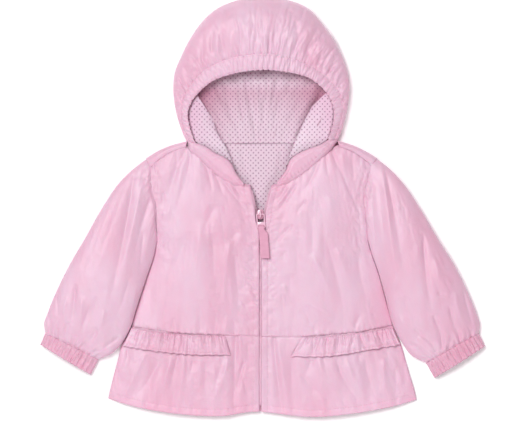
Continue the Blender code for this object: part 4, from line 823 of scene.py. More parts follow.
def casing_sections(columns=430):
    """Closed sections of the elastic casing round the face, from its seam to its edge."""
    _, seam, rim, along = hood_lines(columns)
    width = np.linalg.norm(seam - rim, axis=1)
    inward = (rim - seam) / width[:, None]
    seam_z = column(HOOD_ROWS, "seam", along)
    rim_z = column(HOOD_ROWS, "rim", along)
    half = CASING_THICK / 2
    tight = 0.85 + 0.2 * np.clip((along - 0.5) * 4, -0.4, 1)
    gathers = fold_height(0.5 * (seam + rim), CASING_FOLDS)
    sections = []
    for turn in np.linspace(0, 2 * math.pi, 26, endpoint=False):
        across = 0.5 - 0.5 * math.cos(turn)
        up = math.sin(turn)
        walked = along * HOOD_ARC
        wave = (0.75 * uneven(walked + 4 * across, 8.2, 111)
                + 0.45 * uneven(walked - 5 * across, 4.3, 112))
        wave = wave + 0.8 * np.abs(noise(walked / 5.5, np.full(columns, across * 2.2), 113)) - 0.3
        plan = seam + inward * (width * across)[:, None]
        z = seam_z + (rim_z - seam_z) * across - half
        if up >= 0:
            rise = half * up**(0.3 if across < 0.5 else 0.6)
            z = z + rise + up**0.5 * (0.9 + tight * wave + 0.8 * gathers)
            z = z - 0.5 * np.exp(-((across * CASING_WIDTH - 2.2) / 0.8)**2)
        else:
            z = z - half * abs(up)**0.6
        plan = plan + inward * (0.8 * tight * wave * across**3)[:, None]
        sections.append(with_height(plan, z))
    return np.array(sections)


def hood_lining_surface(columns=200):
    """Inner face of the lining under the casing and the crown, down to the hood's edge."""
    outline, seam, rim, along = hood_lines(columns)
    reach = inside(outline, LINING_INSET) - seam
    rim_z = column(HOOD_ROWS, "rim", along)
    seam_z = column(HOOD_ROWS, "seam", along)
    swell = column(HOOD_ROWS, "swell", along)
    grid = []
    for share, below in ((0.0, 0.1), (0.05, 0.5), (0.12, 0.8), (0.22, 1.0), (0.4, 1.0), (0.6, 1.0),
                         (0.75, 1.0)):
        z = rim_z + (seam_z - rim_z) * share - CASING_THICK - LINING_DROP * below
        grid.append(with_height(rim + (seam - rim) * share, z))
    ripple = uneven(along * HOOD_ARC, 12, 121)
    for step in np.linspace(0.08, 1.0, 26):
        turn = step * math.pi / 2
        z = ROLL + (seam_z - ROLL) * math.cos(turn)**0.8 + swell * math.sin(2 * turn)
        z = z - (LINING_INSET + 0.4) * math.cos(turn)
        plan = seam + reach * math.sin(turn)
        z = z + (0.5 * ripple - 0.5) * math.cos(turn) * min(1.0, 4 * step)
        grid.append(with_height(plan, z))
    return np.array(grid)


def hood_lining_back_surface(columns=150, rows=80):
    """Inner face of the lining on the back of the hood, from its edge down to the neck seam."""
    edge = inside(line(HOOD_OUTLINE, columns), LINING_BACK_INSET)
    neck = np.stack([np.linspace(-79, 80, columns), np.full(columns, NECK_SEAM_Y + 0.1)], axis=1)
    step = np.linspace(0, 1, rows)
    rise = eased((0.0, 0.3, 0.65, 1.0), (3.4, 4.6, 4.6, 2.8), step)
    plan = edge[None] + (neck - edge)[None] * step[:, None, None]
    height = np.repeat(rise[:, None], columns, axis=1)
    fade = np.minimum(1, 6 * step)[:, None] * np.minimum(1, 12 * (1 - step))[:, None]
    relief = 2.4 * fold_height(plan, LINING_FOLDS) + crumple(plan, (0, 20), 131, 12, 34, 2.6)
    fan = np.arctan2(plan[..., 0], plan[..., 1] - 30) * 110
    relief += 1.7 * uneven(fan, 17, 133) * np.clip((plan[..., 1] - 95) / 40, 0, 1)
    raised = 3.0 * np.clip((plan[..., 1] - 120) / 35, 0, 1) * fade
    lowest, soft = 2.5, 0.8
    above = (height + 2.0 + fade * relief + raised - lowest) / soft
    return with_height(plan, lowest + soft * np.logaddexp(0.0, above))


def lining_corner_surface(side, across=50, up=70):
    """The lining of one front corner of the hood, folded towards the face."""
    fold = line(side.lining_fold, up)
    rim = line(HOOD_RIM, 41)
    rim = rim[:9] if side.sign < 0 else rim[::-1][:9]
    outer = line(rim[::-1] - np.array((side.sign * 2.0, 0.0)), up)
    corner = line(side.lapel_inner, 40)[:33]
    low = line(corner[::6] - np.array((side.sign * 1.0, -1.0)), across)
    spread = np.linspace(0, 1, up)[:, None]
    outer = outer + (low[0] - outer[-1]) * spread
    fold = fold + (low[-1] - fold[-1]) * spread
    plan = patch(np.linspace(outer[0], fold[0], across), low, outer, fold)
    u, v = shares(across, up)
    height = 7.2 + 6.0 * (1 - u)**1.5 + 2.5 * np.sin(math.pi * u) * (1 - 0.5 * v)
    height = height + 5.0 * (1 - u)**2 * np.clip(1 - 2 * v, 0, 1)
    height = height + crinkle(plan, 141 + side.sign, 16, 0.5, 1.1, 2.0) * np.sin(math.pi * u)
    flat = level(plan)
    height += roll_down(from_edge(flat, "end"), 1.4, 2.4)
    return with_height(plan, height)


def neck_lining_surface(across=70, up=60):
    top = np.stack([np.linspace(-62, 62, across), np.full(across, NECK_SEAM_Y)], axis=1)
    low = np.stack([np.linspace(-20, 18, across), np.full(across, -18.0)], axis=1)
    left = np.linspace(low[0], top[0], up)
    right = np.linspace(low[-1], top[-1], up)
    plan = patch(low, top, left, right)
    flat = level(plan)
    seam = from_edge(flat, "high")
    height = 4.2 + crinkle(plan, 151, 18, 0.35) + roll_down(seam, 0.4, 1.2)
    height = height + 0.3 * uneven(plan[..., 0], 9, 152) * np.exp(-(seam / 7)**2)
    height += fold_height(plan, LINING_FOLDS)
    return with_height(plan, height)


def lapel_surface(side, along=90, across=26):
    """One front corner of the hood, turned down over the neckline."""
    inner = line(side.lapel_inner, along)
    outer = line(side.lapel_outer, along)
    spread = np.linspace(0, 1, along)
    end = np.minimum(1, np.minimum(spread, 1 - spread) * 6 + 0.35)
    step = np.linspace(0, 1, across)
    lift = eased((0.0, 0.12, 0.5, 0.88, 1.0), (2.6, 4.0, 4.2, 2.2, 0.8), step)
    plan = inner[None] + (outer - inner)[None] * step[:, None, None]
    height = LAPEL_BASE + lift[:, None] * end[None, :]
    wide = np.linalg.norm(outer - inner, axis=1)[None, :]
    from_inner = step[:, None] * wide
    from_outer = (1 - step[:, None]) * wide
    walked = spread[None, :] * LAPEL_LENGTH
    height += sewn_relief(from_inner - LAPEL_STITCH_IN, walked, 161 + side.sign, 0.4, 0.2, 4, 7)
    height += sewn_relief(from_outer - LAPEL_STITCH_OUT, walked, 163 + side.sign, 0.4, 0.25, 4, 6)
    height += 0.3 * crinkle(plan, 165 + side.sign, 12, 1.0, -0.7 * side.sign, 1.8)
    return with_height(plan, height)


def zip_surface(side, across=10, up=240):
    inner = zip_line(side, ZIP_SLOT - 0.2, ZIP_LOW_Y, ZIP_TOP_Y, up)
    y = inner[:, 1]
    skirt = column(PEPLUM_ROWS, "zip", (y - HEM_CENTRE_Y) / SKIRT_HEIGHT)
    torso = column(TORSO_ROWS, "zip", (y - FRONT_LOW_Y) / FRONT_HEIGHT)
    height = np.where(y < FRONT_LOW_Y, skirt, torso) - ZIP_DROP
    share = np.linspace(0, 1, across)[None, :]
    lifted = 1.7 * np.clip(y / 6, 0, 1)[:, None] * (1 - share)**1.5
    plan = inner[:, None] + np.array((side.sign * ZIP_TAPE, 0.0)) * share[..., None]
    return with_height(plan, height[:, None] + lifted)


def shoulder_front(along):
    """Height of the front's edge under a shoulder seam, from its outer end."""
    return arch(np.linspace(0, 0.36, along), 7.5, 13.0, 1.0)


def back_surfaces(shoulder=40, up=40):
    """Back panel: flat, with its shoulders rolled over to the seams on the front."""
    sides = []
    rolls = []
    tops = []
    for side in SIDES:
        seam = line(chain(side.side_seam[::-1], side.armhole[::-1]), up)
        sides.append(seam + np.array((-side.sign * 3.5, 0.0)))
        edge = line(side.shoulder, shoulder)
        rim = edge - np.array((0.0, 4.0))
        rim[0] += np.array((-side.sign * 4.0, 0.0))
        tops.append(rim)
        seam = line(side.shoulder_seam, shoulder) + np.array((0.0, 0.1))
        front_z = shoulder_front(shoulder)
        roll = [with_height(rim, np.full(shoulder, WALL))]
        for step in np.linspace(0.15, 0.9, 6):
            plan = rim + (edge - rim) * math.sin(step * math.pi / 2)
            roll.append(with_height(plan, np.full(shoulder, WALL + 0.4 + 3.7 * step**1.4)))
        roll.append(with_height(edge, 0.35 * front_z + 3.0))
        for step in np.linspace(0.06, 1.0, 14):
            plan = edge + (seam - edge) * step
            height = (front_z * (0.62 + 0.38 * min(1, 2.2 * step)**0.5)
                      + 0.5 * math.sin(math.pi * step))
            height = height + 0.5 * crinkle(plan, 171, 12, 0.7, 0.5, 2.0)
            roll.append(with_height(plan, height + roll_down(1 - step, 0.5, 0.15)))
        rolls.append(np.array(roll))
    neck_left, neck_right = tops[0][-1], tops[1][-1]
    neck = np.stack([np.linspace(neck_left[0], neck_right[0], 60),
                     np.linspace(neck_left[1], neck_right[1], 60)], axis=1)
    neck[1:-1, 1] = NECK_SEAM_Y - 0.6
    top = np.concatenate([tops[0][:-1], neck, tops[1][::-1][1:]])
    low_x = np.linspace(sides[0][0][0], sides[1][0][0], len(top))
    low = np.stack([low_x, WAIST_Y - WAIST_DIP * (1 - (low_x / WAIST_HALF)**2)], axis=1)
    for edge, corner_top, corner_low in ((sides[0], top[0], low[0]), (sides[1], top[-1], low[-1])):
        edge[0] = corner_low
        edge[-1] = corner_top
    plan = patch(low, top, sides[0], sides[1])
    return [level(plan, WALL), *rolls]


def peplum_back_surface(count=90, up=26):
    waist_x = np.linspace(-162, 162, count)
    waist = np.stack([waist_x, WAIST_Y - 2 * SEAM_GAP
                      - WAIST_DIP * (1 - (waist_x / WAIST_HALF)**2)], axis=1)
    hem = line(chain(LEFT.hem, ((0, HEM_CENTRE_Y),), RIGHT.hem[::-1]), count) + np.array((0.0, 1.0))
    left = line(LEFT.peplum_side[::-1], up) + np.array((2.0, 0.0))
    right = line(RIGHT.peplum_side[::-1], up) + np.array((-2.0, 0.0))
    for edge, corner_low, corner_high in ((left, hem[0], waist[0]), (right, hem[-1], waist[-1])):
        edge[0] = corner_low
        edge[-1] = corner_high
    plan = patch(hem, waist, left, right)
    return level(plan, WALL)


def hood_back_surface(count=90):
    outline, seam, _, _ = hood_lines(count)
    reach = np.linalg.norm(outline - seam, axis=1)
    flat_reach = reach - np.minimum(ROLL, 0.9 * reach)
    outer = seam + (outline - seam) / reach[:, None] * flat_reach[:, None]
    edge = inside(outer, 1.4)
    neck = np.stack([np.linspace(-84, 84, count), np.full(count, NECK_SEAM_Y + SEAM_GAP)], axis=1)
    step = np.linspace(0, 1, 30)[:, None, None]
    plan = edge[None] + (neck - edge)[None] * step
    return level(plan, WALL)


def drop(surface, plan):
    """Height of a surface straight below each point of a plan."""
    rows, columns = surface.shape[:2]
    index = np.arange(rows * columns).reshape(rows, columns)
    faces = np.stack([index[:-1, :-1], index[:-1, 1:], index[1:, 1:], index[1:, :-1]], axis=-1)
    tree = BVHTree.FromPolygons(surface.reshape(-1, 3).tolist(), faces.reshape(-1, 4).tolist())
    found = []
    for x, y in plan.reshape(-1, 2):
        hit = tree.ray_cast(Vector((x, y, 100.0)), Vector((0, 0, -1)))[0]
        if hit is None:
            hit = tree.find_nearest(Vector((x, y, 10.0)))[0]
        found.append(hit[2])
    return np.array(found).reshape(plan.shape[:-1])


# ---------------------------------------------------------------- materials

def principled(name, colour, roughness, **values):
    """A material with numbers that are the same all over set on the shader itself."""
    material = bpy.data.materials.new(name)
    material.use_nodes = True
    shader = material.node_tree.nodes["Principled BSDF"]
    shader.inputs["Base Color"].default_value = (*colour, 1.0)
    shader.inputs["Roughness"].default_value = roughness
    for key, value in values.items():
        shader.inputs[key.replace("_", " ")].default_value = value
    return material, shader


def node(material, kind, **values):
    made = material.node_tree.nodes.new(kind)
    for key, value in values.items():
        setattr(made, key, value)
    return made


def link(material, source, target):
    material.node_tree.links.new(source, target)


def noise_node(material, place, scale, detail=3.0, rough=0.5):
    made = node(material, "ShaderNodeTexNoise")
    made.inputs["Scale"].default_value = scale
    made.inputs["Detail"].default_value = detail
    made.inputs["Roughness"].default_value = rough
    link(material, place, made.inputs["Vector"])
    return made.outputs["Fac"]


def bump(material, height, distance, below=None):
    made = node(material, "ShaderNodeBump")
    made.inputs["Distance"].default_value = distance
    made.inputs["Strength"].default_value = 1.0
    link(material, height, made.inputs["Height"])
    if below is not None:
        link(material, below, made.inputs["Normal"])
    return made.outputs["Normal"]


def calc(material, operation, first, second=None):
    """A Math node with its first input linked, and its second linked or a number."""
    made = node(material, "ShaderNodeMath", operation=operation)
    for slot, value in ((0, first), (1, second)):
        if value is None:
            continue
        if isinstance(value, (int, float)):
            made.inputs[slot].default_value = value
        else:
            link(material, value, made.inputs[slot])
    return made.outputs[0]


def remap(material, value, low, high):
    """A value that runs from low to high, as one from 0 to 1."""
    made = node(material, "ShaderNodeMapRange")
    made.inputs["From Min"].default_value = low
    made.inputs["From Max"].default_value = high
    link(material, value, made.inputs["Value"])
    return made.outputs["Result"]


def tint(material, factor, low, high):
    """A colour between two, by a factor from 0 to 1."""
    ramp = node(material, "ShaderNodeValToRGB")
    ramp.color_ramp.elements[0].color = (*low, 1.0)
    ramp.color_ramp.elements[1].color = (*high, 1.0)
    link(material, factor, ramp.inputs["Fac"])
    return ramp.outputs["Color"]


def scaled(colour, factor):
    return tuple(min(1.0, part * factor) for part in colour)


def weave_height(material, thread):
    """Plain weave: threads over and under each other, from the piece's own flat coordinates."""
    place = node(material, "ShaderNodeTexCoord").outputs["UV"]
    split = node(material, "ShaderNodeSeparateXYZ")
    link(material, place, split.inputs[0])
    waves = []
    for axis in ("X", "Y"):
        turned = calc(material, "MULTIPLY", split.outputs[axis], math.pi / thread)
        waves.append(calc(material, "ABSOLUTE", calc(material, "SINE", turned)))
    return calc(material, "MULTIPLY", waves[0], waves[1])


def taffeta(name, rose, lilac, roughness=0.42, creases=0.0009):
    """Light shiny polyester, rose with lilac patches of painted sheen, a fine plain weave and small
    creases.
    """
    material, shader = principled(name, rose, roughness, Sheen_Weight=0.45, Sheen_Roughness=0.4,
                                  Sheen_Tint=(1.0, 0.86, 0.96, 1.0), Specular_IOR_Level=0.45,
                                  Subsurface_Weight=0.35, Subsurface_Radius=(1.0, 0.4, 0.58),
                                  Subsurface_Scale=0.0024)
    place = node(material, "ShaderNodeTexCoord").outputs["Object"]
    drawn = node(material, "ShaderNodeMapping")
    drawn.inputs["Scale"].default_value = (1.0, 0.32, 1.0)
    link(material, place, drawn.inputs["Vector"])
    # Painted sheen: broad patches of lilac over the rose, laid by a noise drawn out along y.
    broad = noise_node(material, drawn.outputs["Vector"], 24.0, 3.0)
    spread = remap(material, broad, 0.36, 0.64)
    link(material, tint(material, spread, rose, lilac), shader.inputs["Base Color"])
    facets = node(material, "ShaderNodeTexNoise", noise_type="RIDGED_MULTIFRACTAL")
    facets.inputs["Scale"].default_value = 38.0
    facets.inputs["Detail"].default_value = 4.0
    facets.inputs["Roughness"].default_value = 0.45
    link(material, place, facets.inputs["Vector"])
    creased = bump(material, facets.outputs["Fac"], creases)
    puckered = bump(material, noise_node(material, place, 420.0, 2.0), 0.0001, creased)
    link(material, bump(material, weave_height(material, 0.32), 0.000012, puckered),
         shader.inputs["Normal"])
    return material


def dotted(name, ground, shade, dot):
    """Thin lining with small dots on a diagonal grid, with painted shade towards the hood's sides
    and top.
    """
    material, shader = principled(name, ground, 0.62, Sheen_Weight=0.15, Specular_IOR_Level=0.3,
                                  Subsurface_Weight=0.3, Subsurface_Radius=(1.0, 0.5, 0.7),
                                  Subsurface_Scale=0.002)
    place = node(material, "ShaderNodeTexCoord")
    wobble = noise_node(material, place.outputs["Object"], 60.0, 1.0)
    split = node(material, "ShaderNodeSeparateXYZ")
    link(material, place.outputs["UV"], split.inputs[0])
    diagonals = []
    for sign in (1.0, -1.0):
        other = calc(material, "MULTIPLY", split.outputs["Y"], sign)
        turned = calc(material, "ADD", split.outputs["X"], other)
        turned = calc(material, "ADD", turned, calc(material, "MULTIPLY", wobble, 2.6))
        cell = calc(material, "FRACT", calc(material, "MULTIPLY", turned, 1 / DOT_PITCH))
        off = calc(material, "SUBTRACT", cell, 0.5)
        diagonals.append(calc(material, "MULTIPLY", off, off))
    away = calc(material, "SQRT", calc(material, "ADD", diagonals[0], diagonals[1]))
    edge = remap(material, away, DOT_SIZE * 1.12, DOT_SIZE * 0.85)
    # Painted shade: the ground turns to a pinker, darker colour towards the sides and the top of the
    # hood.
    where = node(material, "ShaderNodeSeparateXYZ")
    link(material, place.outputs["Object"], where.inputs[0])
    aside = calc(material, "POWER", calc(material, "MULTIPLY", where.outputs["X"], 1 / PAINTED_SHADE_X), 2.0)
    ahead = calc(material, "SUBTRACT", where.outputs["Y"], PAINTED_SHADE_FROM_Y)
    ahead = calc(material, "MAXIMUM", calc(material, "MULTIPLY", ahead, 1 / PAINTED_SHADE_Y), 0.0)
    ahead = calc(material, "POWER", ahead, 2.0)
    # Painted light: less of that painted shade under the casing, where the casing's own shadow
    # falls.
    under = calc(material, "SUBTRACT", where.outputs["Y"], PAINTED_LIGHT_FROM_Y)
    under = calc(material, "MAXIMUM", calc(material, "MULTIPLY", under, PAINTED_LIGHT_RATE), 0.0)
    under = calc(material, "MINIMUM", under, PAINTED_LIGHT_MOST)
    painted_shade_amount = calc(material, "SUBTRACT", calc(material, "ADD", aside, ahead), under)
    base = tint(material, remap(material, painted_shade_amount, 0.15, 1.05), ground, shade)
    mix = node(material, "ShaderNodeMix", data_type="RGBA")
    link(material, edge, mix.inputs[0])
    link(material, base, mix.inputs[6])
    mix.inputs[7].default_value = (*dot, 1.0)
    link(material, mix.outputs[2], shader.inputs["Base Color"])
    creased = bump(material, noise_node(material, place.outputs["Object"], 120.0, 3.0), 0.00025)
    link(material, bump(material, weave_height(material, 0.4), 0.00002, creased),
         shader.inputs["Normal"])
    return material


def twill(name, colour):
    """Zip tape: a herringbone of slanting ribs."""
    material, shader = principled(name, colour, 0.75, Sheen_Weight=0.2, Specular_IOR_Level=0.3)
    place = node(material, "ShaderNodeTexCoord")
    split = node(material, "ShaderNodeSeparateXYZ")
    link(material, place.outputs["UV"], split.inputs[0])
    zigzag = calc(material, "PINGPONG", split.outputs["X"], 1.5)
    rib = calc(material, "SINE", calc(material, "MULTIPLY",
                                      calc(material, "ADD", zigzag, split.outputs["Y"]), 9.0))
    broad = noise_node(material, place.outputs["Object"], 200.0, 2.0)
    link(material, tint(material, broad, scaled(colour, 0.92), scaled(colour, 1.06)),
         shader.inputs["Base Color"])
    link(material, bump(material, rib, 0.00005), shader.inputs["Normal"])
    return material


def grosgrain(name, colour):
    """Ribbon of the pull: ribs straight across it."""
    material, shader = principled(name, colour, 0.5, Sheen_Weight=0.3, Specular_IOR_Level=0.4)
    place = node(material, "ShaderNodeTexCoord")
    split = node(material, "ShaderNodeSeparateXYZ")
    link(material, place.outputs["UV"], split.inputs[0])
    rib = calc(material, "SINE", calc(material, "MULTIPLY", split.outputs["Y"], 7.5))
    broad = noise_node(material, place.outputs["Object"], 150.0, 3.0)
    link(material, tint(material, broad, scaled(colour, 0.9), scaled(colour, 1.08)),
         shader.inputs["Base Color"])
    creased = bump(material, broad, 0.0002)
    link(material, bump(material, rib, 0.00006, creased), shader.inputs["Normal"])
    return material


def enamel(name, colour):
    """Painted die-cast metal of the slider, a little worn."""
    material, shader = principled(name, colour, 0.24, Coat_Weight=0.4, Coat_Roughness=0.15,
                                  Specular_IOR_Level=0.6)
    place = node(material, "ShaderNodeTexCoord").outputs["Object"]
    broad = noise_node(material, place, 300.0, 3.0)
    link(material, tint(material, broad, scaled(colour, 0.93), scaled(colour, 1.05)),
         shader.inputs["Base Color"])
    link(material, bump(material, noise_node(material, place, 900.0, 2.0), 0.00002),
         shader.inputs["Normal"])
    return material


def thread_material(name, colour):
    """Sewing thread, a little uneven in colour and bump."""
    material, shader = principled(name, colour, 0.5, Sheen_Weight=0.3)
    place = node(material, "ShaderNodeTexCoord").outputs["Object"]
    twist = noise_node(material, place, 2500.0, 1.0)
    link(material, tint(material, twist, scaled(colour, 0.85), scaled(colour, 1.1)),
         shader.inputs["Base Color"])
    link(material, bump(material, twist, 0.00008), shader.inputs["Normal"])
    return material


# ---------------------------------------------------------------- making objects

def place_object(name, mesh, material, body):
    mesh.materials.append(material)
    mesh.shade_smooth()
    obj = bpy.data.objects.new(name, mesh)
    bpy.context.scene.collection.objects.link(obj)
    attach(obj, body)
    return obj


def flat_coordinates(grid, laid):
    """Coordinates of the cloth itself, in millimetres, for its weave or dots."""
    if laid:
        return grid[..., :2]
    return np.stack([walk(grid, 1), walk(grid, 0)], axis=-1)


def grid_mesh(grids, wrap=False, laid=False):
    """One mesh of quads from one or more grids, with the cloth's own coordinates as its UV map."""
    work = bmesh.new()
    layer = work.loops.layers.uv.new("UVMap")
    for grid in grids:
        grid = np.asarray(grid, float)
        rows, columns = grid.shape[:2]
        cloth = flat_coordinates(grid, laid)
        verts = [[work.verts.new(point * MM) for point in row] for row in grid]
        last = columns if wrap else columns - 1
        for i in range(rows - 1):
            for j in range(last):
                k = (j + 1) % columns
                corners = ((i, j), (i, k), (i + 1, k), (i + 1, j))
                face = work.faces.new([verts[a][b] for a, b in corners])
                for loop, (a, b) in zip(face.loops, corners):
                    closing = wrap and b == 0 and j > 0
                    u = 2 * cloth[a, -1, 0] - cloth[a, -2, 0] if closing else cloth[a, b, 0]
                    loop[layer].uv = (u, cloth[a, b, 1])
    bmesh.ops.remove_doubles(work, verts=work.verts, dist=0.00001)
    return work


def finish_mesh(name, work, face_up=None):
    bmesh.ops.recalc_face_normals(work, faces=work.faces)
    if face_up is not None:
        widest = max(work.faces, key=lambda face: abs(face.normal.z) * face.calc_area())
        if (widest.normal.z > 0) != face_up:
            bmesh.ops.reverse_faces(work, faces=work.faces)
    mesh = bpy.data.meshes.new(name)
    work.to_mesh(mesh)
    work.free()
    return mesh


def cloth(name, grids, material, slot, wrap=False, laid=False, face_up=True, wall=SHEET,
          body="garment"):
    """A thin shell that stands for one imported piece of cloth."""
    work = grid_mesh(grids, wrap, laid)
    mesh = finish_mesh(name, work, None if wrap else face_up)
    obj = place_object("cloth_" + name, mesh, material, body)
    shell = obj.modifiers.new("Wall", "SOLIDIFY")
    shell.thickness = wall * MM
    shell.offset = -1.0
    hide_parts(name)
    return obj


def place_work(name, work, material, body="garment"):
    return place_object(name, finish_mesh(name, work), material, body)


def join_rings(work, low, high):
    """Quads between two rings of vertices."""
    for j in range(len(low)):
        k = (j + 1) % len(low)
        work.faces.new((low[j], low[k], high[k], high[j]))


def close_ends(work, rings):
    work.faces.new(rings[0][::-1])
    work.faces.new(rings[-1])


STITCH = 2.4
STITCH_GAP = 0.9
THREAD = 0.17
THREAD_SIDES = 5


def stitches(name, runs, material, body="garment"):
    """Short stitches of thread along lines that lie on the cloth."""
    work = bmesh.new()
    for run in runs:
        run = np.asarray(run, float)
        walked = np.concatenate([[0.0], np.cumsum(np.linalg.norm(np.diff(run, axis=0), axis=1))])
        begin = 1.0
        while begin + STITCH < walked[-1]:
            ends = [np.array([np.interp(at, walked, run[:, axis]) for axis in range(3)])
                    for at in (begin, begin + STITCH)]
            heading = (ends[1] - ends[0]) / np.linalg.norm(ends[1] - ends[0])
            across = np.cross(heading, (0, 0, 1.0))
            across = across / np.linalg.norm(across)
            over = np.cross(across, heading)
            rings = []
            for share, lift, thick in ((0.0, -0.22, 0.7), (0.2, 0.05, 1.0), (0.5, 0.12, 1.05),
                                       (0.8, 0.05, 1.0), (1.0, -0.22, 0.7)):
                centre = ends[0] + (ends[1] - ends[0]) * share + over * lift
                points = []
                for side in range(THREAD_SIDES):
                    turn = 2 * math.pi * side / THREAD_SIDES
                    points.append(work.verts.new((centre + THREAD * thick * (
                        across * math.cos(turn) + over * math.sin(turn))) * MM))
                rings.append(points)
            for low, high in zip(rings[:-1], rings[1:]):
                join_rings(work, low, high)
            close_ends(work, rings)
            begin += STITCH + STITCH_GAP
    return place_work(name, work, material, body)


def at_distance(grid, edge, distance):
    """The line on a surface that keeps a distance from one edge of its grid."""
    away = from_edge(grid, edge)
    across = edge in ("low", "high")
    lines = range(grid.shape[1] if across else grid.shape[0])
    points = []
    for index in lines:
        far = away[:, index] if across else away[index]
        row = grid[:, index] if across else grid[index]
        if far[0] > far[-1]:
            far, row = far[::-1], row[::-1]
        points.append([np.interp(distance, far, row[:, axis]) for axis in range(3)])
    return np.array(points)


def on_surface(surface, points, lift=0.1):
    points = np.asarray(points, float)
    return with_height(points, drop(surface, points) + lift)


# ---------------------------------------------------------------- zip, slider and pull

TOOTH_PITCH = 1.5
SLIDER_WIDTH = 8.6
SLIDER_TOP_Y = -0.5
SLIDER_LENGTH = 12.5
SLIDER_PLATE = 1.6
BRIDGE_RISE = 5.4
WIRE = 0.8
PULL_HALF_WIDTH = 4.6
PULL_LINK = 16.5
PULL_TILT = math.radians(4.0)
TAB_WIDTH = 10.8
TAB_NECK = 6.6
TAB_LENGTH = 38.5
TAB_SHIFT = 2.2
TAB_SLOT = 0.5
TAPE_Z = FRONT_AT_ZIP - ZIP_DROP
SLIDER_FACE = TAPE_Z + 0.7 + SLIDER_PLATE
HINGE = (ZIP_X, SLIDER_TOP_Y - SLIDER_LENGTH / 2, SLIDER_FACE + WIRE + 1.8)


def zip_teeth(side, tape, material):
    """Moulded teeth along the inner edge of one tape, meshed below the slider."""
    work = bmesh.new()
    edge = tape[:, 0]
    y = -244.0 + (TOOTH_PITCH / 2 if side.sign > 0 else 0.0)
    while y < 22.0:
        x = np.interp(y, edge[:, 1], edge[:, 0])
        z = np.interp(y, edge[:, 1], edge[:, 2])
        for low, high, half, thick in ((-0.9, 1.6, 0.42, 0.75), (-1.5, -0.9, 0.3, 0.6)):
            corners = []
            for dz in (-thick - 0.2, thick - 0.2):
                for dx, dy in ((low, -half), (high, -half), (high, half), (low, half)):
                    corners.append(work.verts.new(((x + side.sign * dx) * MM, (y + dy) * MM,
                                                   (z + dz) * MM)))
            for face in ((0, 3, 2, 1), (4, 5, 6, 7), (0, 1, 5, 4), (1, 2, 6, 5), (2, 3, 7, 6),
                         (3, 0, 4, 7)):
                work.faces.new([corners[index] for index in face])
        y += TOOTH_PITCH
    return place_work("zip_teeth_" + side.name, work, material)


def rounded_slab(outline, low, high, bevel):
    """A slab with an outline in plan and softened rims, as a list of rings from below to above."""
    outline = np.asarray(outline, float)
    middle = outline.mean(axis=0)
    rings = []
    for z, shrink in ((low, bevel), (low + bevel, 0.0), (high - bevel, 0.0),
                      (high - 0.3 * bevel, 0.3 * bevel), (high, bevel)):
        away = outline - middle
        size = np.linalg.norm(away, axis=1)[:, None]
        rings.append(with_height(middle + away * (1 - shrink / size), np.full(len(outline), z)))
    return rings


def add_rings(work, rings):
    verts = [[work.verts.new(Vector(point) * MM) for point in ring] for ring in rings]
    for low, high in zip(verts[:-1], verts[1:]):
        join_rings(work, low, high)
    close_ends(work, verts)


def add_wire(work, path, radius, closed, flat=1.0, sides=12):
    """A round or flattened wire along points in space."""
    path = np.asarray(path, float)
    count = len(path)
    rings = []
    for index in range(count):
        before = path[index - 1] if closed or index else path[index]
        after = path[(index + 1) % count] if closed or index < count - 1 else path[index]
        heading = (after - before) / np.linalg.norm(after - before)
        across = np.cross(heading, (0, 0, 1.0))
        if np.linalg.norm(across) < 0.05:
            across = np.array((1.0, 0, 0))
        across = across / np.linalg.norm(across)
        over = np.cross(across, heading)
        ring_points = []
        for side in range(sides):
            turn = 2 * math.pi * side / sides
            ring_points.append(work.verts.new(Vector(path[index] + radius * (
                across * math.cos(turn) + over * flat * math.sin(turn))) * MM))
        rings.append(ring_points)
    pairs = list(zip(rings[:-1], rings[1:]))
    if closed:
        pairs.append((rings[-1], rings[0]))
    for low, high in pairs:
        join_rings(work, low, high)
    if not closed:
        close_ends(work, rings)


def make_slider(material, wire):
    """Slider body with a rounded, waisted upper plate, the plate below, its wedge and bridge."""
    work = bmesh.new()
    half = SLIDER_WIDTH / 2
    middle = SLIDER_TOP_Y - SLIDER_LENGTH / 2
    outline = []
    for turn in np.linspace(0, 2 * math.pi, 48, endpoint=False):
        y = SLIDER_LENGTH / 2 * np.sign(math.sin(turn)) * abs(math.sin(turn))**0.6
        waist = 1.0 - 0.16 * (0.5 - 0.5 * y / (SLIDER_LENGTH / 2))
        x = half * waist * np.sign(math.cos(turn)) * abs(math.cos(turn))**0.6
        outline.append((ZIP_X + x, middle + y))
    upper = TAPE_Z + 0.7
    lower = TAPE_Z - 1.7
    add_rings(work, rounded_slab(outline, upper, upper + SLIDER_PLATE, 0.45))
    add_rings(work, rounded_slab(outline, lower - SLIDER_PLATE, lower, 0.45))
    nose = [(ZIP_X + 1.5 * math.cos(t), SLIDER_TOP_Y - 1.7 + 1.4 * math.sin(t))
            for t in np.linspace(0, 2 * math.pi, 16, endpoint=False)]
    add_rings(work, rounded_slab(nose, lower - 0.5, upper + 0.5, 0.1))
    obj = place_work("slider_body", work, material)
    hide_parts("slider")
    work = bmesh.new()
    arc = []
    for step in np.linspace(0, math.pi, 25):
        y = middle + 4.2 * math.cos(step)
        arc.append((ZIP_X, y, SLIDER_FACE - 0.6 + (BRIDGE_RISE + 0.6) * math.sin(step)**0.6))
    add_wire(work, arc, WIRE * 1.15, False, 0.7)
    place_work("slider_bridge", work, wire)


def pull_spot(across, along, up):
    tilt = PULL_TILT if along > 1.0 else 0.0
    x = across * math.cos(tilt) + along * math.sin(tilt)
    y = -along * math.cos(tilt)
    return (HINGE[0] + x, HINGE[1] + y, HINGE[2] + up)


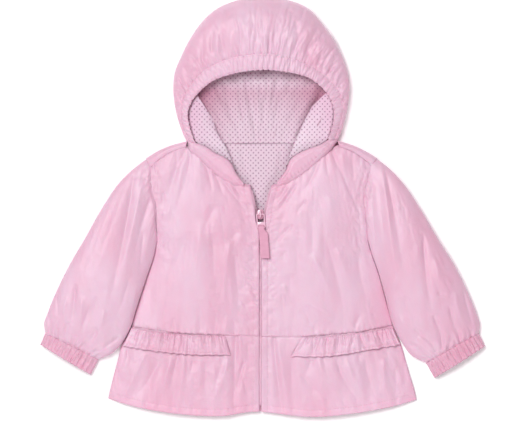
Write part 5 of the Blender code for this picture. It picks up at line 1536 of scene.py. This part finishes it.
def make_pull(metal, ribbon, thread):
    """Link with its plate, and the folded ribbon tab with a row of stitches round it."""
    work = bmesh.new()
    w = PULL_HALF_WIDTH
    far = PULL_LINK
    corner = 1.3
    path = []
    for cx, cy, begin in ((w - corner, far - corner, 0), (-w + corner, far - corner, 1),
                          (-w + corner, corner - 0.4, 2), (w - corner, corner - 0.4, 3)):
        for turn in np.linspace(begin * math.pi / 2, (begin + 1) * math.pi / 2, 7):
            path.append(pull_spot(cx + corner * math.cos(turn), cy + corner * math.sin(turn), 0))
    add_wire(work, path, WIRE, True)
    web = [pull_spot(x, y, 0) for x, y in ((-w + 0.3, 9.6), (w - 0.3, 9.6), (w - 0.1, far - 3.0),
                                          (-w + 0.1, far - 3.0))]
    web = [(x, y) for x, y, _ in web]
    web = chain([web[0]], *[np.linspace(a, b, 9) for a, b in zip(web, web[1:] + web[:1])])[:-1]
    add_rings(work, rounded_slab(web, HINGE[2] - 0.55, HINGE[2] + 0.55, 0.2))
    link_obj = place_work("pull_link_frame", work, metal, "pull")
    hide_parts("pull_link")

    loop = WIRE + 0.35 + 1.2
    outline = [(far - loop * math.sin(step), loop * math.cos(step))
               for step in np.linspace(0.0, math.pi, 17)]
    top_z = TAB_SLOT / 2 + WALL
    upper = [(far + along, top_z + 0.12 * math.sin(along)) for along in
             np.linspace(TAB_LENGTH, 6.0, 44)] + [(far + 2.6, loop * 0.85)]
    lower = [(far + 2.6, -loop * 0.85)] + [(far + along, -top_z) for along in
                                          np.linspace(6.0, TAB_LENGTH, 44)]
    profile = upper + outline + lower
    rows = []
    for share in np.linspace(-0.5, 0.5, 15):
        row = []
        for along, up in profile:
            spread = np.interp(along - far, (1.0, 3.5, 8.0), (TAB_NECK, TAB_NECK + 1.2, TAB_WIDTH))
            crown = 0.35 * (1 - (2 * share)**4) * (1 if up > 0 else 0)
            moved = TAB_SHIFT * float(np.clip((along - far - 3.0) / 4.0, 0, 1))
            row.append(pull_spot(share * spread + moved, along, up + crown))
        rows.append(row)
    tab = cloth("pull_tab", [np.array(rows)], ribbon, "ribbon", wall=1.0, body="pull")
    edge = []
    inset = TAB_WIDTH / 2 - 1.1
    for across, begin, end in ((-inset, 9.0, TAB_LENGTH - 1.5), (inset, TAB_LENGTH - 1.5, 9.0)):
        for along in np.linspace(begin, end, 30):
            edge.append(pull_spot(across + TAB_SHIFT, far + along, top_z + 0.42))
    stitches("stitches_pull_tab", [edge], thread, "pull")
    return tab


# ---------------------------------------------------------------- the pieces

Cut = namedtuple("Cut", "held width length area rests")


def make_body(shell, thread):
    for side in SIDES:
        front = front_surface(side)
        cloth("front_" + side.name, [tuck(front, "high", 2.5, 1.2)], shell, "shell")
        skirt = peplum_surface(side)
        cloth("peplum_" + side.name, [tuck(skirt, "high", 2.5, 0.9)], shell, "shell")
        ruffle = ruffle_surface(side, skirt)
        cloth("ruffle_" + side.name, [ruffle], shell, "shell")
        armhole = inside(line(side.armhole, 50), side.sign * -ARMHOLE_STITCH)[2:-2]
        runs = [at_distance(front, "end", PLACKET)[2:-8], at_distance(skirt, "end", PLACKET)[2:-2],
                at_distance(skirt, "low", HEM)[6:-8], at_distance(front, "low", 1.6)[3:-3],
                at_distance(ruffle, "low", 4.0)[3:-3], on_surface(front, armhole),
                at_distance(front, "high", 1.8)[5:-5]]
        runs = [run + np.array((0, 0, 0.1)) for run in runs]
        stitches("stitches_front_" + side.name, runs, thread)
    cloth("back_panel", back_surfaces(), shell, "shell")
    cloth("peplum_back", [peplum_back_surface()], shell, "shell")


def make_sleeves(shell, elastic, thread):
    for side in SIDES:
        sleeve = sleeve_surface(side)
        sleeve = tuck(tuck(sleeve, "low", 3.0, 1.0), "high", 2.5, 1.2)
        cloth("sleeve_" + side.name, [sleeve], shell, "shell", wrap=True)
        cuff = cuff_surface(side)
        cloth("cuff_" + side.name, [cuff], elastic, "elastic", wrap=True)
        runs = [cuff[row, 8:142] + np.array((0, 0, 0.12)) for row in CUFF_STITCH_ROWS]
        stitches("stitches_cuff_" + side.name, runs, thread)


def make_hood(shell, casing, lining, thread):
    crown = crown_surface()
    crown = tuck(tuck(crown, "start", 6.0, 1.5), "end", 6.0, 1.5)
    cloth("hood_crown", [tuck(crown, "low", 3.0, 1.2)], shell, "shell")
    sections = casing_sections()
    band = tuck(tuck(sections, "start", 4.0, 2.0), "end", 4.0, 2.0)
    cloth("hood_casing", [np.swapaxes(band, 0, 1)], casing, "elastic", wrap=True)
    # The corners' lining: a lighter copy of the lining, painted light.
    painted_light_corner_lining = dotted("dotted_corner_painted_light", CORNER_WHITE_PAINTED_LIGHT, CORNER_PAINTED_SHADE, DOT)
    cloth("hood_lining", [hood_lining_surface()], lining, "lining", laid=True, face_up=False)
    back = hood_lining_back_surface()
    cloth("hood_lining_back", [back], lining, "lining", laid=True)
    neck = tuck(neck_lining_surface(), "high", 2.5, 0.8)
    cloth("neck_lining", [neck], lining, "lining", laid=True)
    cloth("hood_back", [hood_back_surface()], shell, "shell")
    runs = [sections[3] + np.array((0, 0, 0.15)), sections[10] + np.array((0, 0, 0.15))]
    for side in SIDES:
        corner = lining_corner_surface(side)
        corner = tuck(tuck(corner, "high", 3.0, 1.0), "start", 5.0, 2.5)
        cloth("lining_corner_" + side.name, [corner], painted_light_corner_lining, "lining", laid=True)
        lapel = lapel_surface(side)
        covered = tuck(tuck(lapel, "start", 3.0, 2.0), "high", 2.5, 2.5)
        cloth("lapel_" + side.name, [covered], shell, "shell")
        for edge, away in (("low", LAPEL_STITCH_IN), ("high", LAPEL_STITCH_OUT)):
            runs.append(at_distance(lapel, edge, away)[4:-4] + np.array((0, 0, 0.1)))
    stitches("stitches_hood", runs, thread)


def make_zip(tape, metal):
    for side in SIDES:
        surface = zip_surface(side)
        cloth("zip_" + side.name, [surface], tape, "zip_tape")
        zip_teeth(side, surface, metal)


# ---------------------------------------------------------------- light, floor and camera

VIEW_DISTANCE = 6.0
VIEW_CENTRE = (-0.006875, -0.006875)
VIEW_WIDTH = 0.64125       # width of the frame at the height of the cloth
CLOTH_HEIGHT = 0.01
SENSOR = 36.0


def area_light(name, place, aim, size, power, colour=(1.0, 1.0, 1.0)):
    data = bpy.data.lights.new(name, "AREA")
    data.shape = "DISK"
    data.size = size
    data.energy = power
    data.color = colour
    obj = bpy.data.objects.new(name, data)
    obj.location = place
    obj.rotation_euler = (Vector(aim) - Vector(place)).to_track_quat("-Z", "Y").to_euler()
    bpy.context.scene.collection.objects.link(obj)


def make_stage():
    mesh = bpy.data.meshes.new("floor")
    work = bmesh.new()
    bmesh.ops.create_grid(work, x_segments=8, y_segments=8, size=4.0)
    work.to_mesh(mesh)
    work.free()
    floor = bpy.data.objects.new("floor", mesh)
    floor.location.z = -0.0003
    bpy.context.scene.collection.objects.link(floor)
    material, _ = principled("floor_white", (0.95, 0.95, 0.95), 0.8, Specular_IOR_Level=0.1,
                             Emission_Color=(1.0, 1.0, 1.0, 1.0), Emission_Strength=0.12)
    mesh.materials.append(material)

    world = bpy.data.worlds.new("studio")
    world.use_nodes = True
    background = world.node_tree.nodes["Background"]
    background.inputs["Color"].default_value = (*WORLD_TINT, 1)
    background.inputs["Strength"].default_value = WORLD_LIGHT
    bpy.context.scene.world = world
    area_light("key", (-1.45, 1.6, 4.7), (0, 0, 0), 2.6, KEY_LIGHT)
    area_light("fill", (0.6, -3.4, 2.6), (0, 0, 0), 1.6, FILL_LIGHT)

    data = bpy.data.cameras.new("camera")
    data.type = "PERSP"
    data.sensor_width = SENSOR
    data.lens = SENSOR * (VIEW_DISTANCE - CLOTH_HEIGHT) / VIEW_WIDTH
    data.clip_end = 30.0
    camera = bpy.data.objects.new("camera", data)
    camera.location = (*VIEW_CENTRE, VIEW_DISTANCE)
    bpy.context.scene.collection.objects.link(camera)
    bpy.context.scene.camera = camera
    bpy.context.scene.view_settings.view_transform = "Standard"


PINK = (0.812, 0.46, 0.586)
# Lilac of the painted sheen, laid in patches over the rose.
LILAC_PAINTED_SHEEN = (0.828, 0.537, 0.663)
CASING_PINK = (0.81, 0.50, 0.625)
# Cuffs: a darker copy of the shell's colours, painted shade for their gathers, with the lilac of the
# painted sheen.
CUFF_PINK_PAINTED_SHADE = (0.74, 0.385, 0.50)
CUFF_LILAC_PAINTED_SHADE_AND_SHEEN = (0.755, 0.445, 0.565)
LINING_WHITE = (0.77, 0.59, 0.685)
# Painted shade of the lining, towards the sides and top of the hood.
LINING_PAINTED_SHADE = (0.56, 0.27, 0.37)
# The hood's corners: a lighter copy of the lining's ground, painted light where they lie up in the
# light, and their painted shade.
CORNER_WHITE_PAINTED_LIGHT = (0.86, 0.70, 0.80)
CORNER_PAINTED_SHADE = (0.80, 0.55, 0.68)
DOT = (0.28, 0.08, 0.20)
DOT_PITCH = 6.4
DOT_SIZE = 0.17
PAINTED_SHADE_X = 0.090             # in metres, as the next four: where painted shade turns the lining pinker
PAINTED_SHADE_FROM_Y = 0.080
PAINTED_SHADE_Y = 0.093
PAINTED_LIGHT_FROM_Y = 0.146       # and where painted light takes it back, in the casing's shadow
PAINTED_LIGHT_RATE = 48.0
PAINTED_LIGHT_MOST = 0.6
TAPE_PINK = (0.88, 0.52, 0.66)
ENAMEL_PINK = (0.86, 0.55, 0.68)
# The slider body: a darker copy of the link's enamel, painted shade between link and slider.
SLIDER_PINK_PAINTED_SHADE = (0.70, 0.36, 0.48)
RIBBON_PINK = (0.75, 0.38, 0.515)
WORLD_TINT = (1.0, 0.85, 0.925)
WORLD_LIGHT = 0.33
KEY_LIGHT = 193.0
FILL_LIGHT = 55.0


def main():
    shell = taffeta("taffeta", PINK, LILAC_PAINTED_SHEEN)
    casing = taffeta("casing_taffeta", CASING_PINK, LILAC_PAINTED_SHEEN)
    # The cuffs' taffeta: a darker copy of the shell's, painted shade.
    elastic = taffeta("cuff_taffeta", CUFF_PINK_PAINTED_SHADE, CUFF_LILAC_PAINTED_SHADE_AND_SHEEN)
    lining = dotted("dotted_lining", LINING_WHITE, LINING_PAINTED_SHADE, DOT)
    thread = thread_material("thread", scaled(PINK, 0.97))
    tape = twill("zip_tape", TAPE_PINK)
    metal = enamel("pink_enamel", ENAMEL_PINK)
    ribbon = grosgrain("ribbon", RIBBON_PINK)
    make_body(shell, thread)
    make_sleeves(shell, elastic, thread)
    make_hood(shell, casing, lining, thread)
    make_zip(tape, metal)
    # The slider body's enamel is a darker copy, painted shade.
    make_slider(enamel("slider_enamel_painted_shade", SLIDER_PINK_PAINTED_SHADE), metal)
    make_pull(metal, ribbon, thread)
    make_stage()


main()
